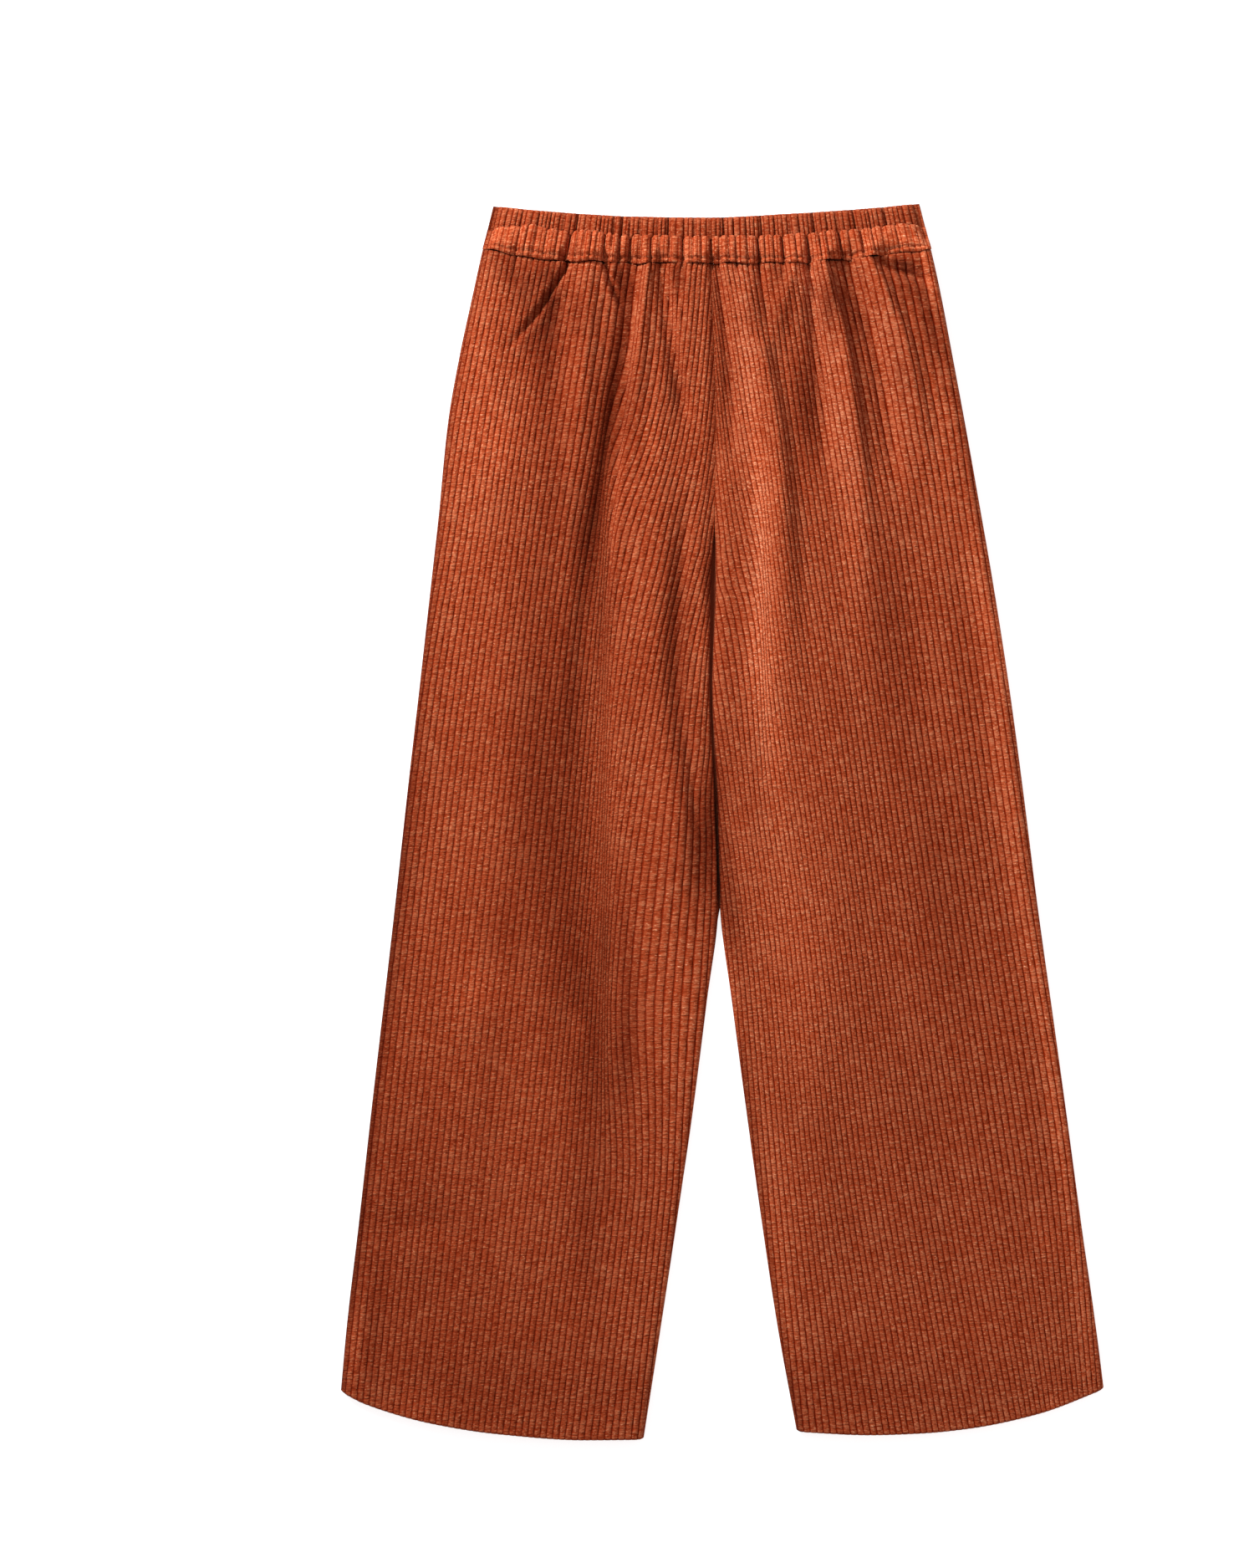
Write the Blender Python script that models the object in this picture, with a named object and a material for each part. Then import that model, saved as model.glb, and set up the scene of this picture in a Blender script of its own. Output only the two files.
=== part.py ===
"""Pull-on wide-leg corduroy trousers, laid flat on a surface with the front up.

The two back leg panels lie on the surface and the two front leg panels lie on them. The waist is a gathered
elastic casing in two stretches, and each leg ends in a hem that is turned up inside.

Every length below is in millimetres and becomes metres when a mesh is made. X runs across, with the wearer's
left at +X, Y runs from the hems up to the waist, and Z is up. The origin is on the surface, under the middle
of the garment's outline.
"""

import math
from collections import namedtuple

import bmesh
import bpy

MM = 0.001

# Cloth and seams
CLOTH = 1.8  # thickness of the corduroy
SEAM_GAP = 0.3  # clearance left between pieces that are sewn together
HEM_DEPTH = 17.0  # how far the hem is turned up
HEM_INSET = 3  # columns of a panel, at each seam, that its turned hem leaves free

# How the edges of the flat tubes are rounded
ROLL = 10.0  # distance from a seam over which the front rises to its full height
BACK_ROLL = 3.0  # distance over which the back's underside meets the surface
BACK_LIFT = 0.8  # height of the back's underside right at a seam
EDGE_HEIGHT = 3.1  # height of the front's outer face right at a seam
FRONT_REST = 2 * CLOTH + 2 * SEAM_GAP  # lowest height of the front's outer face away from a seam
STEEPEST = 1.5  # most that a slope may thicken the wall, measured upright
SLOPE_STEP = 1.0  # distance over which a slope is measured

# Centre front seam, which lies in a groove, and the fork where it turns into two leg edges
SEAM_GROOVE = 3.0
SEAM_GROOVE_WIDTH = 6.0
FORK_TOP = 240.0
FORK_BOTTOM = 195.0
LEGS_TOUCH = -55.0  # above this level the backs of the legs lie against each other
LEGS_PART = -80.0
BACK_SHIFT = 2.4  # the back's centre seam lies this far beside the front's

# Waistband casings
BACK_BAND_HEIGHT = 5.4
FRONT_BAND_LOW = 6.4
FRONT_BAND_HIGH = 13.4
BAND_ROLL = 12.0
BAND_TUCK = 3.0  # how far the back casing reaches under the front one
TUCK_START = 15.0
TUCK_FULL = 65.0
PUFFS = ((18.0, 0.0, 0.6), (11.7, 1.0, 0.4))  # spacing, phase and share of the gathers
PUFF_RISE = 0.8
PUFF_SCALLOP = 0.7
CASING_SQUARENESS = 0.45
CASING_SIDES = 10
CASING_STATIONS = 44
STATION_CROWDING = 0.35  # 0 spaces the stations evenly, 1 crowds them most towards the ends

# Mesh density
FRONT_COLUMNS = 33
FRONT_ROWS = 19
BACK_COLUMNS = 21
BACK_ROWS = 15
ROW_BIAS = 1.6  # above 1, rows crowd towards the waist
EDGE_COLUMNS = (0.0, 1.5, 5.0)  # distances from a seam of the columns that round it
MEETING_ROUNDS = 6  # rounds to find where a row and a column of a panel meet

# The outline: where the seams lie at each level, from the waist down
Level = namedtuple("Level", "y side_right inner_right inner_left side_left")
LEVELS = (
    Level(490.0, -181.4, -9.5, -9.5, 156.6),
    Level(452.9, -190.4, -9.4, -9.4, 165.9),
    Level(419.7, -197.7, -8.6, -8.6, 173.2),
    Level(370.6, -208.3, -6.6, -6.6, 182.5),
    Level(317.5, -217.6, -5.3, -5.3, 192.4),
    Level(240.0, -225.4, -6.2, -6.0, 206.2),
    Level(190.0, -231.0, -8.6, -5.4, 214.8),
    Level(107.8, -240.2, -9.8, -8.0, 227.6),
    Level(21.6, -250.1, -5.6, -4.6, 239.2),
    Level(-63.4, -259.4, -3.0, -2.2, 249.8),
    Level(-144.3, -268.7, -12.4, 7.8, 261.1),
    Level(-230.6, -278.7, -23.4, 19.2, 273.0),
    Level(-316.8, -288.3, -36.0, 31.2, 284.6),
    Level(-399.1, -297.9, -48.4, 43.6, 296.3),
    Level(-490.0, -306.0, -62.5, 60.3, 307.7),
)

# Edges that run across, each as points from the wearer's right to the left
Point = namedtuple("Point", "x y")
BACK_WAIST = (
    Point(-181.6, 488.0),
    Point(-148.6, 484.7),
    Point(-69.0, 480.0),
    Point(-13.0, 479.2),
    Point(50.4, 482.0),
    Point(130.0, 487.3),
    Point(156.6, 490.0),
)
FRONT_WAIST = (
    Point(-186.4, 469.4),
    Point(-152.0, 468.4),
    Point(-108.8, 464.1),
    Point(-9.3, 461.5),
    Point(51.8, 462.8),
    Point(110.0, 467.3),
    Point(161.7, 471.4),
)
FRONT_SEAM = (
    Point(-190.4, 453.6),
    Point(-150.6, 446.2),
    Point(-127.4, 443.5),
    Point(-9.3, 442.2),
    Point(51.8, 442.2),
    Point(110.0, 446.5),
    Point(165.9, 453.5),
)
HEM_RIGHT = (
    Point(-302.6, -451.5),
    Point(-281.3, -462.1),
    Point(-228.2, -477.4),
    Point(-175.2, -485.5),
    Point(-108.8, -490.0),
    Point(-62.4, -489.6),
)
HEM_LEFT = (
    Point(59.0, -483.4),
    Point(116.8, -486.0),
    Point(156.6, -484.7),
    Point(196.4, -480.7),
    Point(249.5, -469.4),
    Point(302.6, -449.5),
)

# Height of the front's outer face between its folds, level by level
Loft = namedtuple("Loft", "y height")
LOFTS = (
    Loft(490.0, 11.2),
    Loft(440.0, 11.5),
    Loft(360.0, 10.4),
    Loft(180.0, 8.4),
    Loft(-60.0, 7.2),
    Loft(-380.0, 6.8),
    Loft(-440.0, 8.6),
    Loft(-490.0, 9.0),
)

# Folds. Each runs from head to tail through a middle point. Height is positive for a ridge and negative for a
# trough. Lean steepens the flank towards the wearer's left, rise is the length over which a fold grows at its
# head, and fade the length over which it dies at its tail.
Fold = namedtuple(
    "Fold", "x_head y_head x_mid y_mid x_tail y_tail width_head width_tail lean height rise fade"
)
HEAD_SHARE = 0.5  # share of its height that a fold has right at its head
FRONT_FOLDS = (
    # the gathers under the waistband, from the wearer's right to the left
    Fold(-172, 440, -180, 330, -190, 150, 22, 30, 0.0, 2.4, 30, 160),
    Fold(-117, 451, -144, 406, -174, 368, 5, 6, 0.1, -4.5, 4, 40),
    Fold(-106, 449, -108, 390, -122, 230, 9, 13, 0.2, 5.0, 6, 120),
    Fold(-95, 452, -89, 428, -76, 403, 5, 5, 0.2, -3.5, 4, 14),
    Fold(-64, 450, -83, 315, -106, 110, 7, 10, 0.5, -7.6, 4, 90),
    Fold(-60, 449, -66, 386, -70, 260, 7, 10, 0.1, 4.6, 6, 110),
    Fold(-56, 330, -52, 240, -52, 50, 16, 18, 0.2, 3.4, 90, 120),
    Fold(-48, 447, -42, 390, -27, 305, 6, 6, 0.2, -4.8, 4, 40),
    Fold(-4.5, 449, 3, 385, 9, 265, 6, 8, 0.3, -5.0, 4, 60),
    Fold(58, 449, 45, 400, 31, 342, 8, 9, 0.0, 3.4, 5, 70),
    Fold(24, 402, 43, 300, 55, 50, 10, 18, 0.25, 8.6, 50, 200),
    Fold(67, 447, 73, 395, 85, 245, 6, 9, 0.2, -6.6, 36, 90),
    Fold(78, 449, 98, 367, 118, 200, 6, 11, 0.4, 6.6, 5, 130),
    Fold(98, 449, 124, 362, 141, 235, 7, 9, 0.3, -6.4, 5, 90),
    Fold(115, 449, 147, 367, 164, 250, 7, 13, 0.2, 5.8, 5, 110),
    # long soft folds down the legs
    Fold(-168, 260, -168, 60, -150, -200, 26, 30, 0.0, 2.4, 80, 160),
    Fold(-101, 190, -97, -20, -86, -260, 17, 20, 0.2, -3.6, 70, 130),
    Fold(-30, 236, -37, 120, -8, -26, 7, 8, 0.3, -3.0, 26, 40),
    Fold(-36, 60, -33, -10, -30, -80, 13, 12, 0.3, 2.6, 60, 60),
    Fold(-46, 70, -47, -60, -52, -270, 18, 22, 0.0, 2.6, 60, 120),
    Fold(85, 90, 90, -65, 92, -260, 32, 30, 0.1, 3.2, 90, 150),
    Fold(150, 225, 160, 120, 172, -10, 18, 20, 0.0, -2.4, 60, 90),
    Fold(190, 200, 212, 20, 234, -130, 18, 20, 0.0, -2.6, 80, 110),
)
# Gathers that lift the back off the surface near the waist, under ridges of the front
BACK_FOLDS = (
    Fold(-143, 461, -150, 410, -160, 330, 8, 13, 0.0, 3.0, 5, 80),
    Fold(-44, 461, -46, 400, -50, 300, 8, 13, 0.0, 2.6, 5, 90),
    Fold(20, 461, 22, 400, 28, 290, 8, 13, 0.0, 3.0, 5, 100),
    Fold(84, 461, 88, 410, 92, 320, 7, 12, 0.0, 2.6, 5, 80),
    Fold(128, 461, 134, 410, 142, 330, 7, 12, 0.0, 2.6, 5, 80),
)

# Finish
RUST = (0.36, 0.068, 0.025, 1.0)
RUST_INSIDE = (0.28, 0.052, 0.020, 1.0)
NAP_ROUGHNESS = 0.95


def clear_scene():
    for item in list(bpy.data.objects):
        bpy.data.objects.remove(item, do_unlink=True)


def smooth(share):
    share = min(max(share, 0.0), 1.0)
    return share * share * (3.0 - 2.0 * share)


def mix(start, end, share):
    return start + (end - start) * share


def curve(places, values):
    """A smooth function through the given values that never overshoots them."""
    pairs = sorted(zip(places, values))
    steps = [(b[1] - a[1]) / (b[0] - a[0]) for a, b in zip(pairs, pairs[1:])]
    bends = [2 * a * b / (a + b) if a * b > 0 else 0.0 for a, b in zip(steps, steps[1:])]
    slopes = [steps[0], *bends, steps[-1]]

    def value(place):
        if place <= pairs[0][0]:
            return pairs[0][1] + slopes[0] * (place - pairs[0][0])
        if place >= pairs[-1][0]:
            return pairs[-1][1] + slopes[-1] * (place - pairs[-1][0])
        at = next(i for i, pair in enumerate(pairs[1:]) if place <= pair[0])
        (x0, y0), (x1, y1) = pairs[at], pairs[at + 1]
        span = x1 - x0
        t = (place - x0) / span
        ease = t * t * (3.0 - 2.0 * t)
        start_bend = t * (1.0 - t) ** 2 * slopes[at]
        end_bend = t * t * (t - 1.0) * slopes[at + 1]
        return mix(y0, y1, ease) + span * (start_bend + end_bend)

    return value


def across(points):
    return curve([p.x for p in points], [p.y for p in points])


def down(column):
    return curve([row.y for row in LEVELS], [getattr(row, column) for row in LEVELS])


side_right = down("side_right")
side_left = down("side_left")
seam_right = down("inner_right")
seam_left = down("inner_left")
back_waist = across(BACK_WAIST)
front_waist = across(FRONT_WAIST)
front_seam = across(FRONT_SEAM)
hem_right = across(HEM_RIGHT)
hem_left = across(HEM_LEFT)
loft = curve([row.y for row in LOFTS], [row.height for row in LOFTS])


def inner_right(y):
    return seam_right(y) - SEAM_GAP / 2


def inner_left(y):
    return seam_left(y) + SEAM_GAP / 2


def back_inner_right(y):
    """The right back panel's inner edge: it meets the left one down to where the legs part."""
    together = smooth((y - LEGS_PART) / (LEGS_TOUCH - LEGS_PART))
    return mix(seam_right(y), (seam_right(y) + seam_left(y)) / 2 + BACK_SHIFT, together) - SEAM_GAP / 2


def back_inner_left(y):
    together = smooth((y - LEGS_PART) / (LEGS_TOUCH - LEGS_PART))
    return mix(seam_left(y), (seam_right(y) + seam_left(y)) / 2 + BACK_SHIFT, together) + SEAM_GAP / 2


def roll(distance, reach):
    """A quarter ellipse: 0 at the seam, 1 from reach onwards."""
    share = min(max(distance / reach, 0.0), 1.0)
    return math.sqrt(1.0 - (1.0 - share) ** 2)


def fold_height(fold, x, y):
    """Height that one fold adds at a point: a bell across it, eased in at its head and out at its tail."""
    if y > fold.y_head + fold.rise or y < fold.y_tail:
        return 0.0
    line = curve((fold.y_head, fold.y_mid, fold.y_tail), (fold.x_head, fold.x_mid, fold.x_tail))
    share = min(max((fold.y_head - y) / (fold.y_head - fold.y_tail), 0.0), 1.0)
    width = mix(fold.width_head, fold.width_tail, share)
    off = x - line(y)
    width *= 1.0 - fold.lean * math.tanh(off / width)
    grow = mix(HEAD_SHARE, 1.0, smooth((fold.y_head - y) / fold.rise))
    fade = smooth((y - fold.y_tail) / fold.fade)
    return fold.height * grow * fade * math.exp(-((off / width) ** 2))


def folds(rows, x, y):
    return sum(fold_height(fold, x, y) for fold in rows)


def seam_distances(x, y):
    """Distances from a point to its panel's side seam and to its centre seam or inseam."""
    middle = (seam_right(y) + seam_left(y)) / 2
    if x < middle:
        return x - side_right(y), inner_right(y) - x
    return side_left(y) - x, x - inner_left(y)


def back_lift(x, y):
    """Height of the back's underside where gathers lift it."""
    side, inner = seam_distances(x, y)
    return folds(BACK_FOLDS, x, y) * roll(side, 2 * ROLL) * roll(inner, 2 * ROLL)


def back_low(x, y):
    side, inner = seam_distances(x, y)
    below_fork = smooth((FORK_TOP - y) / (FORK_TOP - FORK_BOTTOM))
    at_side = 1.0 - roll(side, BACK_ROLL)
    at_inner = (1.0 - roll(inner, BACK_ROLL)) * below_fork
    return back_lift(x, y) + BACK_LIFT * max(at_side, at_inner)


def back_top(x, y):
    return back_lift(x, y) + CLOTH


def front_top(x, y):
    """Height of the front's outer face: the loft and its folds, rounded down to every seam."""
    side, inner = seam_distances(x, y)
    lowest = FRONT_REST + back_lift(x, y)
    body = max(loft(y) + folds(FRONT_FOLDS, x, y), lowest)
    groove = SEAM_GROOVE * math.exp(-((inner / SEAM_GROOVE_WIDTH) ** 2))
    seamed = max(body - groove, lowest)
    below_fork = smooth((FORK_TOP - y) / (FORK_TOP - FORK_BOTTOM))
    rolled = mix(EDGE_HEIGHT, body, roll(inner, ROLL))
    return mix(EDGE_HEIGHT, mix(seamed, rolled, below_fork), roll(side, ROLL))


def front_low(x, y):
    """The front's inner face: its outer face less the cloth, kept clear of the back."""
    slope_x = (front_top(x + SLOPE_STEP, y) - front_top(x - SLOPE_STEP, y)) / (2 * SLOPE_STEP)
    slope_y = (front_top(x, y + SLOPE_STEP) - front_top(x, y - SLOPE_STEP)) / (2 * SLOPE_STEP)
    upright = CLOTH * min(math.sqrt(1.0 + slope_x**2 + slope_y**2), STEEPEST)
    return max(front_top(x, y) - upright, back_top(x, y) + SEAM_GAP)


def band_end_distance(x, y):
    return min(x - side_right(y), side_left(y) - x)


def back_seam(x):
    """Lower edge of the back casing, which reaches under the front casing away from its ends."""
    edge = front_waist(x)
    reach = smooth((band_end_distance(x, edge) - TUCK_START) / (TUCK_FULL - TUCK_START))
    return edge + SEAM_GAP - (BAND_TUCK + SEAM_GAP) * reach


def column_shares(width, columns):
    """Places of a panel's columns as shares of its width: close at both seams, even between them."""
    ends = [place / width for place in EDGE_COLUMNS]
    inside = columns - 2 * len(ends)
    spread = [mix(ends[-1], 1.0 - ends[-1], (i + 1) / (inside + 1)) for i in range(inside)]
    return [*ends, *spread, *[1.0 - end for end in reversed(ends)]]


def panel_grid(left_edge, right_edge, top, bottom, columns, rows):
    """Rows of (x, y) points from the waist down, whose outer points lie on the four edge curves."""
    middle_x = (left_edge(0.0) + right_edge(0.0)) / 2
    length = top(middle_x) - bottom(middle_x)
    falls = [(i / (rows - 1)) ** ROW_BIAS for i in range(rows)]
    falls.insert(-1, 1.0 - HEM_DEPTH / length)
    shares = column_shares(right_edge(0.0) - left_edge(0.0), columns)
    grid = []
    for fall in falls:
        row = []
        for share in shares:
            x, y = middle_x, mix(top(middle_x), bottom(middle_x), fall)
            for _ in range(MEETING_ROUNDS):
                x = mix(left_edge(y), right_edge(y), share)
                y = mix(top(x), bottom(x), fall)
            row.append((x, y))
        grid.append(row)
    return grid


def close_wall(name, lower, upper, material):
    """One closed body between two grids of points with the same layout."""
    rows, columns = len(lower), len(lower[0])
    mesh = bpy.data.meshes.new(name)
    work = bmesh.new()
    low = [[work.verts.new([c * MM for c in point]) for point in row] for row in lower]
    high = [[work.verts.new([c * MM for c in point]) for point in row] for row in upper]
    for i in range(rows - 1):
        for j in range(columns - 1):
            for side in (low, high):
                work.faces.new((side[i][j], side[i][j + 1], side[i + 1][j + 1], side[i + 1][j]))
    border = [(0, j) for j in range(columns)]
    border += [(i, columns - 1) for i in range(1, rows)]
    border += [(rows - 1, j) for j in range(columns - 2, -1, -1)]
    border += [(i, 0) for i in range(rows - 2, 0, -1)]
    for (i, j), (k, m) in zip(border, border[1:] + border[:1]):
        work.faces.new((low[i][j], low[k][m], high[k][m], high[i][j]))
    bmesh.ops.recalc_face_normals(work, faces=work.faces)
    work.to_mesh(mesh)
    work.free()
    return add_object(name, mesh, material)


def add_object(name, mesh, material):
    item = bpy.data.objects.new(name, mesh)
    mesh.materials.append(material)
    mesh.shade_smooth()
    bpy.context.scene.collection.objects.link(item)
    return item


def make_material(name, colour):
    material = bpy.data.materials.new(name)
    material.use_nodes = True
    shader = material.node_tree.nodes["Principled BSDF"]
    shader.inputs["Base Color"].default_value = colour
    shader.inputs["Roughness"].default_value = NAP_ROUGHNESS
    shader.inputs["Metallic"].default_value = 0.0
    return material


def raised(grid, height):
    return [[(x, y, height(x, y)) for x, y in row] for row in grid]


def leg_panel(name, grid, low, high, material):
    """A leg panel as a wall between its inner and outer face. Returns the object and both faces' points."""
    lower, upper = raised(grid, low), raised(grid, high)
    return close_wall(name, lower, upper, material), lower, upper


def turned_hem(name, face, offset, material):
    """The turned hem: the panel's own points along its last stretch, moved inwards by offset."""
    strip = [row[HEM_INSET:-HEM_INSET] for row in face[-2:]]
    near = [[(x, y, z + offset) for x, y, z in row] for row in strip]
    thick = math.copysign(CLOTH, offset)
    far = [[(x, y, z + thick) for x, y, z in row] for row in near]
    lower, upper = (near, far) if offset > 0 else (far, near)
    return close_wall(name, lower, upper, material)


def puff(x):
    """Uneven gathers along a casing, from -1 to 1."""
    return sum(share * math.cos(2 * math.pi * x / spacing + phase) for spacing, phase, share in PUFFS)


def casing_section(share, bottom, top, low, high):
    """One closed section of a casing: a rounded oblong that is lower and thinner at the casing's ends."""
    mid_y = (bottom(0.0) + top(0.0)) / 2
    x = mix(side_right(mid_y), side_left(mid_y), share)
    y_low, y_high = bottom(x), top(x)
    x = mix(side_right((y_low + y_high) / 2), side_left((y_low + y_high) / 2), share)
    swell = roll(band_end_distance(x, (y_low + y_high) / 2), BAND_ROLL)
    z_low = mix(low[0], low[1], swell)
    z_high = mix(high[0], high[1] + PUFF_RISE * puff(x), swell)
    y_high += PUFF_SCALLOP * puff(x) * swell
    section = []
    for i in range(CASING_SIDES):
        angle = 2 * math.pi * (i + 0.5) / CASING_SIDES
        along, up = (
            math.copysign(abs(part) ** CASING_SQUARENESS, part) for part in (math.cos(angle), math.sin(angle))
        )
        y = mix(y_low, y_high, (1 + along) / 2)
        z = mix(z_low, z_high, (1 + up) / 2)
        section.append((mix(side_right(y), side_left(y), share), y, z))
    return section


def casing(name, bottom, top, low, high, material):
    """A waistband casing lofted through its sections. Low and high are heights at its ends and between."""
    mesh = bpy.data.meshes.new(name)
    work = bmesh.new()
    rings = []
    for i in range(CASING_STATIONS + 1):
        share = (1 - math.cos(math.pi * i / CASING_STATIONS)) / 2
        share = mix(i / CASING_STATIONS, share, STATION_CROWDING)
        points = casing_section(share, bottom, top, low, high)
        rings.append([work.verts.new([c * MM for c in point]) for point in points])
    for ring, after in zip(rings, rings[1:]):
        for i in range(CASING_SIDES):
            k = (i + 1) % CASING_SIDES
            work.faces.new((ring[i], ring[k], after[k], after[i]))
    work.faces.new(rings[0])
    work.faces.new(list(reversed(rings[-1])))
    bmesh.ops.recalc_face_normals(work, faces=work.faces)
    work.to_mesh(mesh)
    work.free()
    return add_object(name, mesh, material)


def make_leg(side, front_edges, back_edges, hem, outside, inside):
    """The front and back panel of one leg, each with its turned hem."""
    front = panel_grid(*front_edges, lambda x: front_seam(x) - SEAM_GAP, hem, FRONT_COLUMNS, FRONT_ROWS)
    back = panel_grid(*back_edges, lambda x: back_seam(x) - SEAM_GAP, hem, BACK_COLUMNS, BACK_ROWS)
    front_panel, front_inner, _ = leg_panel("front_" + side, front, front_low, front_top, outside)
    back_panel, _, back_inner = leg_panel("back_" + side, back, back_low, back_top, outside)
    return [
        front_panel,
        back_panel,
        turned_hem("hem_front_" + side, front_inner, -SEAM_GAP, inside),
        turned_hem("hem_back_" + side, back_inner, SEAM_GAP, inside),
    ]


def make_waistband(outside):
    end_low = CLOTH + SEAM_GAP
    front = casing(
        "waistband_front",
        front_seam,
        front_waist,
        (end_low, FRONT_BAND_LOW),
        (EDGE_HEIGHT, FRONT_BAND_HIGH),
        outside,
    )
    back = casing(
        "waistband_back",
        back_seam,
        back_waist,
        (BACK_LIFT, 0.0),
        (EDGE_HEIGHT, BACK_BAND_HEIGHT - PUFF_RISE),
        outside,
    )
    return [front, back]


def main():
    clear_scene()
    outside = make_material("corduroy", RUST)
    inside = make_material("corduroy_inside", RUST_INSIDE)
    garment = bpy.data.objects.new("trousers", None)
    bpy.context.scene.collection.objects.link(garment)
    pieces = make_leg(
        "right", (side_right, inner_right), (side_right, back_inner_right), hem_right, outside, inside
    )
    pieces += make_leg(
        "left", (inner_left, side_left), (back_inner_left, side_left), hem_left, outside, inside
    )
    pieces += make_waistband(outside)
    for piece in pieces:
        piece.parent = garment


main()
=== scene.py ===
"""The looks of a pair of wide-leg corduroy trousers, laid flat with the front up.

Each leg panel is one thin shell whose outer face carries real wales: its columns follow the wales, and its
height comes from the same outline, loft and fold tables as the CAD, with the smaller folds added. Lengths in
the tables are in millimetres, and become metres when a mesh is made. X runs across, with the wearer's left at
+X, Y runs from the hems to the waist and Z is up from the surface that the trousers lie on.
"""

import math
from collections import namedtuple

import bmesh
import bpy
import numpy as np
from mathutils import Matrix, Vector


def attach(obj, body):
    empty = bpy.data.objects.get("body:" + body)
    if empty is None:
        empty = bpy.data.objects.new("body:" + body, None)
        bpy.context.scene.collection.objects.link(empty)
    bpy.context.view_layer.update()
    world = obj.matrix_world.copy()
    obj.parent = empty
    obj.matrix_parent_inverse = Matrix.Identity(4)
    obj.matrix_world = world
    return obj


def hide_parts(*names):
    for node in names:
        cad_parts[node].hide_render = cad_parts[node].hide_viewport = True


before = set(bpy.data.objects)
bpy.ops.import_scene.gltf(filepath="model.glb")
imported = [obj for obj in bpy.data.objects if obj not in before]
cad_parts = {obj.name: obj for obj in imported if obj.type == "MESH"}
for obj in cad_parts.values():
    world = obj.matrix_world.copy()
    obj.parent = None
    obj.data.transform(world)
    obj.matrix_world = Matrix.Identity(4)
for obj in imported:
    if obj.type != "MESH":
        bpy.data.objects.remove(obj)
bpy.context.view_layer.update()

MM = 0.001


def table(kind, *rows):
    """A table with named columns: one named tuple for each row."""
    return tuple(kind(*row) for row in rows)


# ---- Cloth, seams and edges, as in the CAD ----
CLOTH = 1.8
SEAM_GAP = 0.3
EDGE_GAP = 0.1  # what shows of the gap between panels that meet edge to edge
HEM_DEPTH = 17.0
ROLL = 10.0  # distance from a seam over which the front rises to its full height
BACK_ROLL = 3.0
BACK_LIFT = 0.8
EDGE_HEIGHT = 3.1  # of the front's outer face at the seams
FRONT_REST = 2 * CLOTH + 2 * SEAM_GAP
SEAM_GROOVE, SEAM_GROOVE_WIDTH = 3.0, 6.0
FORK_TOP, FORK_BOTTOM = 240.0, 195.0
LEGS_TOUCH, LEGS_PART = -55.0, -80.0
BACK_SHIFT = 2.4  # the back's centre seam lies this far beside the front's, so no gap runs through both
SEAM_DIP, SEAM_DIP_REACH = 1.0, 3.2  # how far the panel sinks where it goes under the casing

Level = namedtuple("Level", "y side_right inner_right inner_left side_left")
LEVELS = table(
    Level,
    (490, -181.4, -9.5, -9.5, 156.6), (452.9, -190.4, -9.4, -9.4, 165.9), (419.7, -197.7, -8.6, -8.6, 173.2),
    (370.6, -208.3, -6.6, -6.6, 182.5), (317.5, -217.6, -5.3, -5.3, 192.4), (240, -225.4, -6.2, -6, 206.2),
    (190, -231, -8.6, -5.4, 214.8), (107.8, -240.2, -9.8, -8, 227.6), (21.6, -250.1, -5.6, -4.6, 239.2),
    (-63.4, -259.4, -3, -2.2, 249.8), (-144.3, -268.7, -12.4, 7.8, 261.1), (-230.6, -278.7, -23.4, 19.2, 273),
    (-316.8, -288.3, -36, 31.2, 284.6), (-399.1, -297.9, -48.4, 43.6, 296.3),
    (-490, -306, -62.5, 60.3, 307.7),
)
Point = namedtuple("Point", "x y")
BACK_WAIST = table(
    Point,
    (-181.6, 488), (-148.6, 484.7), (-69, 480), (-13, 479.2), (50.4, 482), (130, 487.3), (156.6, 490),
)
FRONT_WAIST = table(
    Point,
    (-186.4, 469.4), (-152, 468.4), (-108.8, 464.1), (-9.3, 461.5), (51.8, 462.8), (110, 467.3),
    (161.7, 471.4),
)
FRONT_SEAM = table(
    Point,
    (-190.4, 453.6), (-150.6, 446.2), (-127.4, 443.5), (-9.3, 442.2), (51.8, 442.2), (110, 446.5),
    (165.9, 453.5),
)
HEM_RIGHT = table(
    Point,
    (-302.6, -451.5), (-281.3, -462.1), (-228.2, -477.4), (-175.2, -485.5), (-108.8, -490), (-62.4, -489.6),
)
HEM_LEFT = table(
    Point,
    (59, -483.4), (116.8, -486), (156.6, -484.7), (196.4, -480.7), (249.5, -469.4), (302.6, -449.5),
)
Loft = namedtuple("Loft", "y height")
LOFTS = table(
    Loft,
    (490, 11.2), (440, 11.5), (360, 10.4), (180, 8.4), (-60, 7.2), (-380, 6.8), (-440, 8.6), (-490, 9.6),
)

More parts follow.
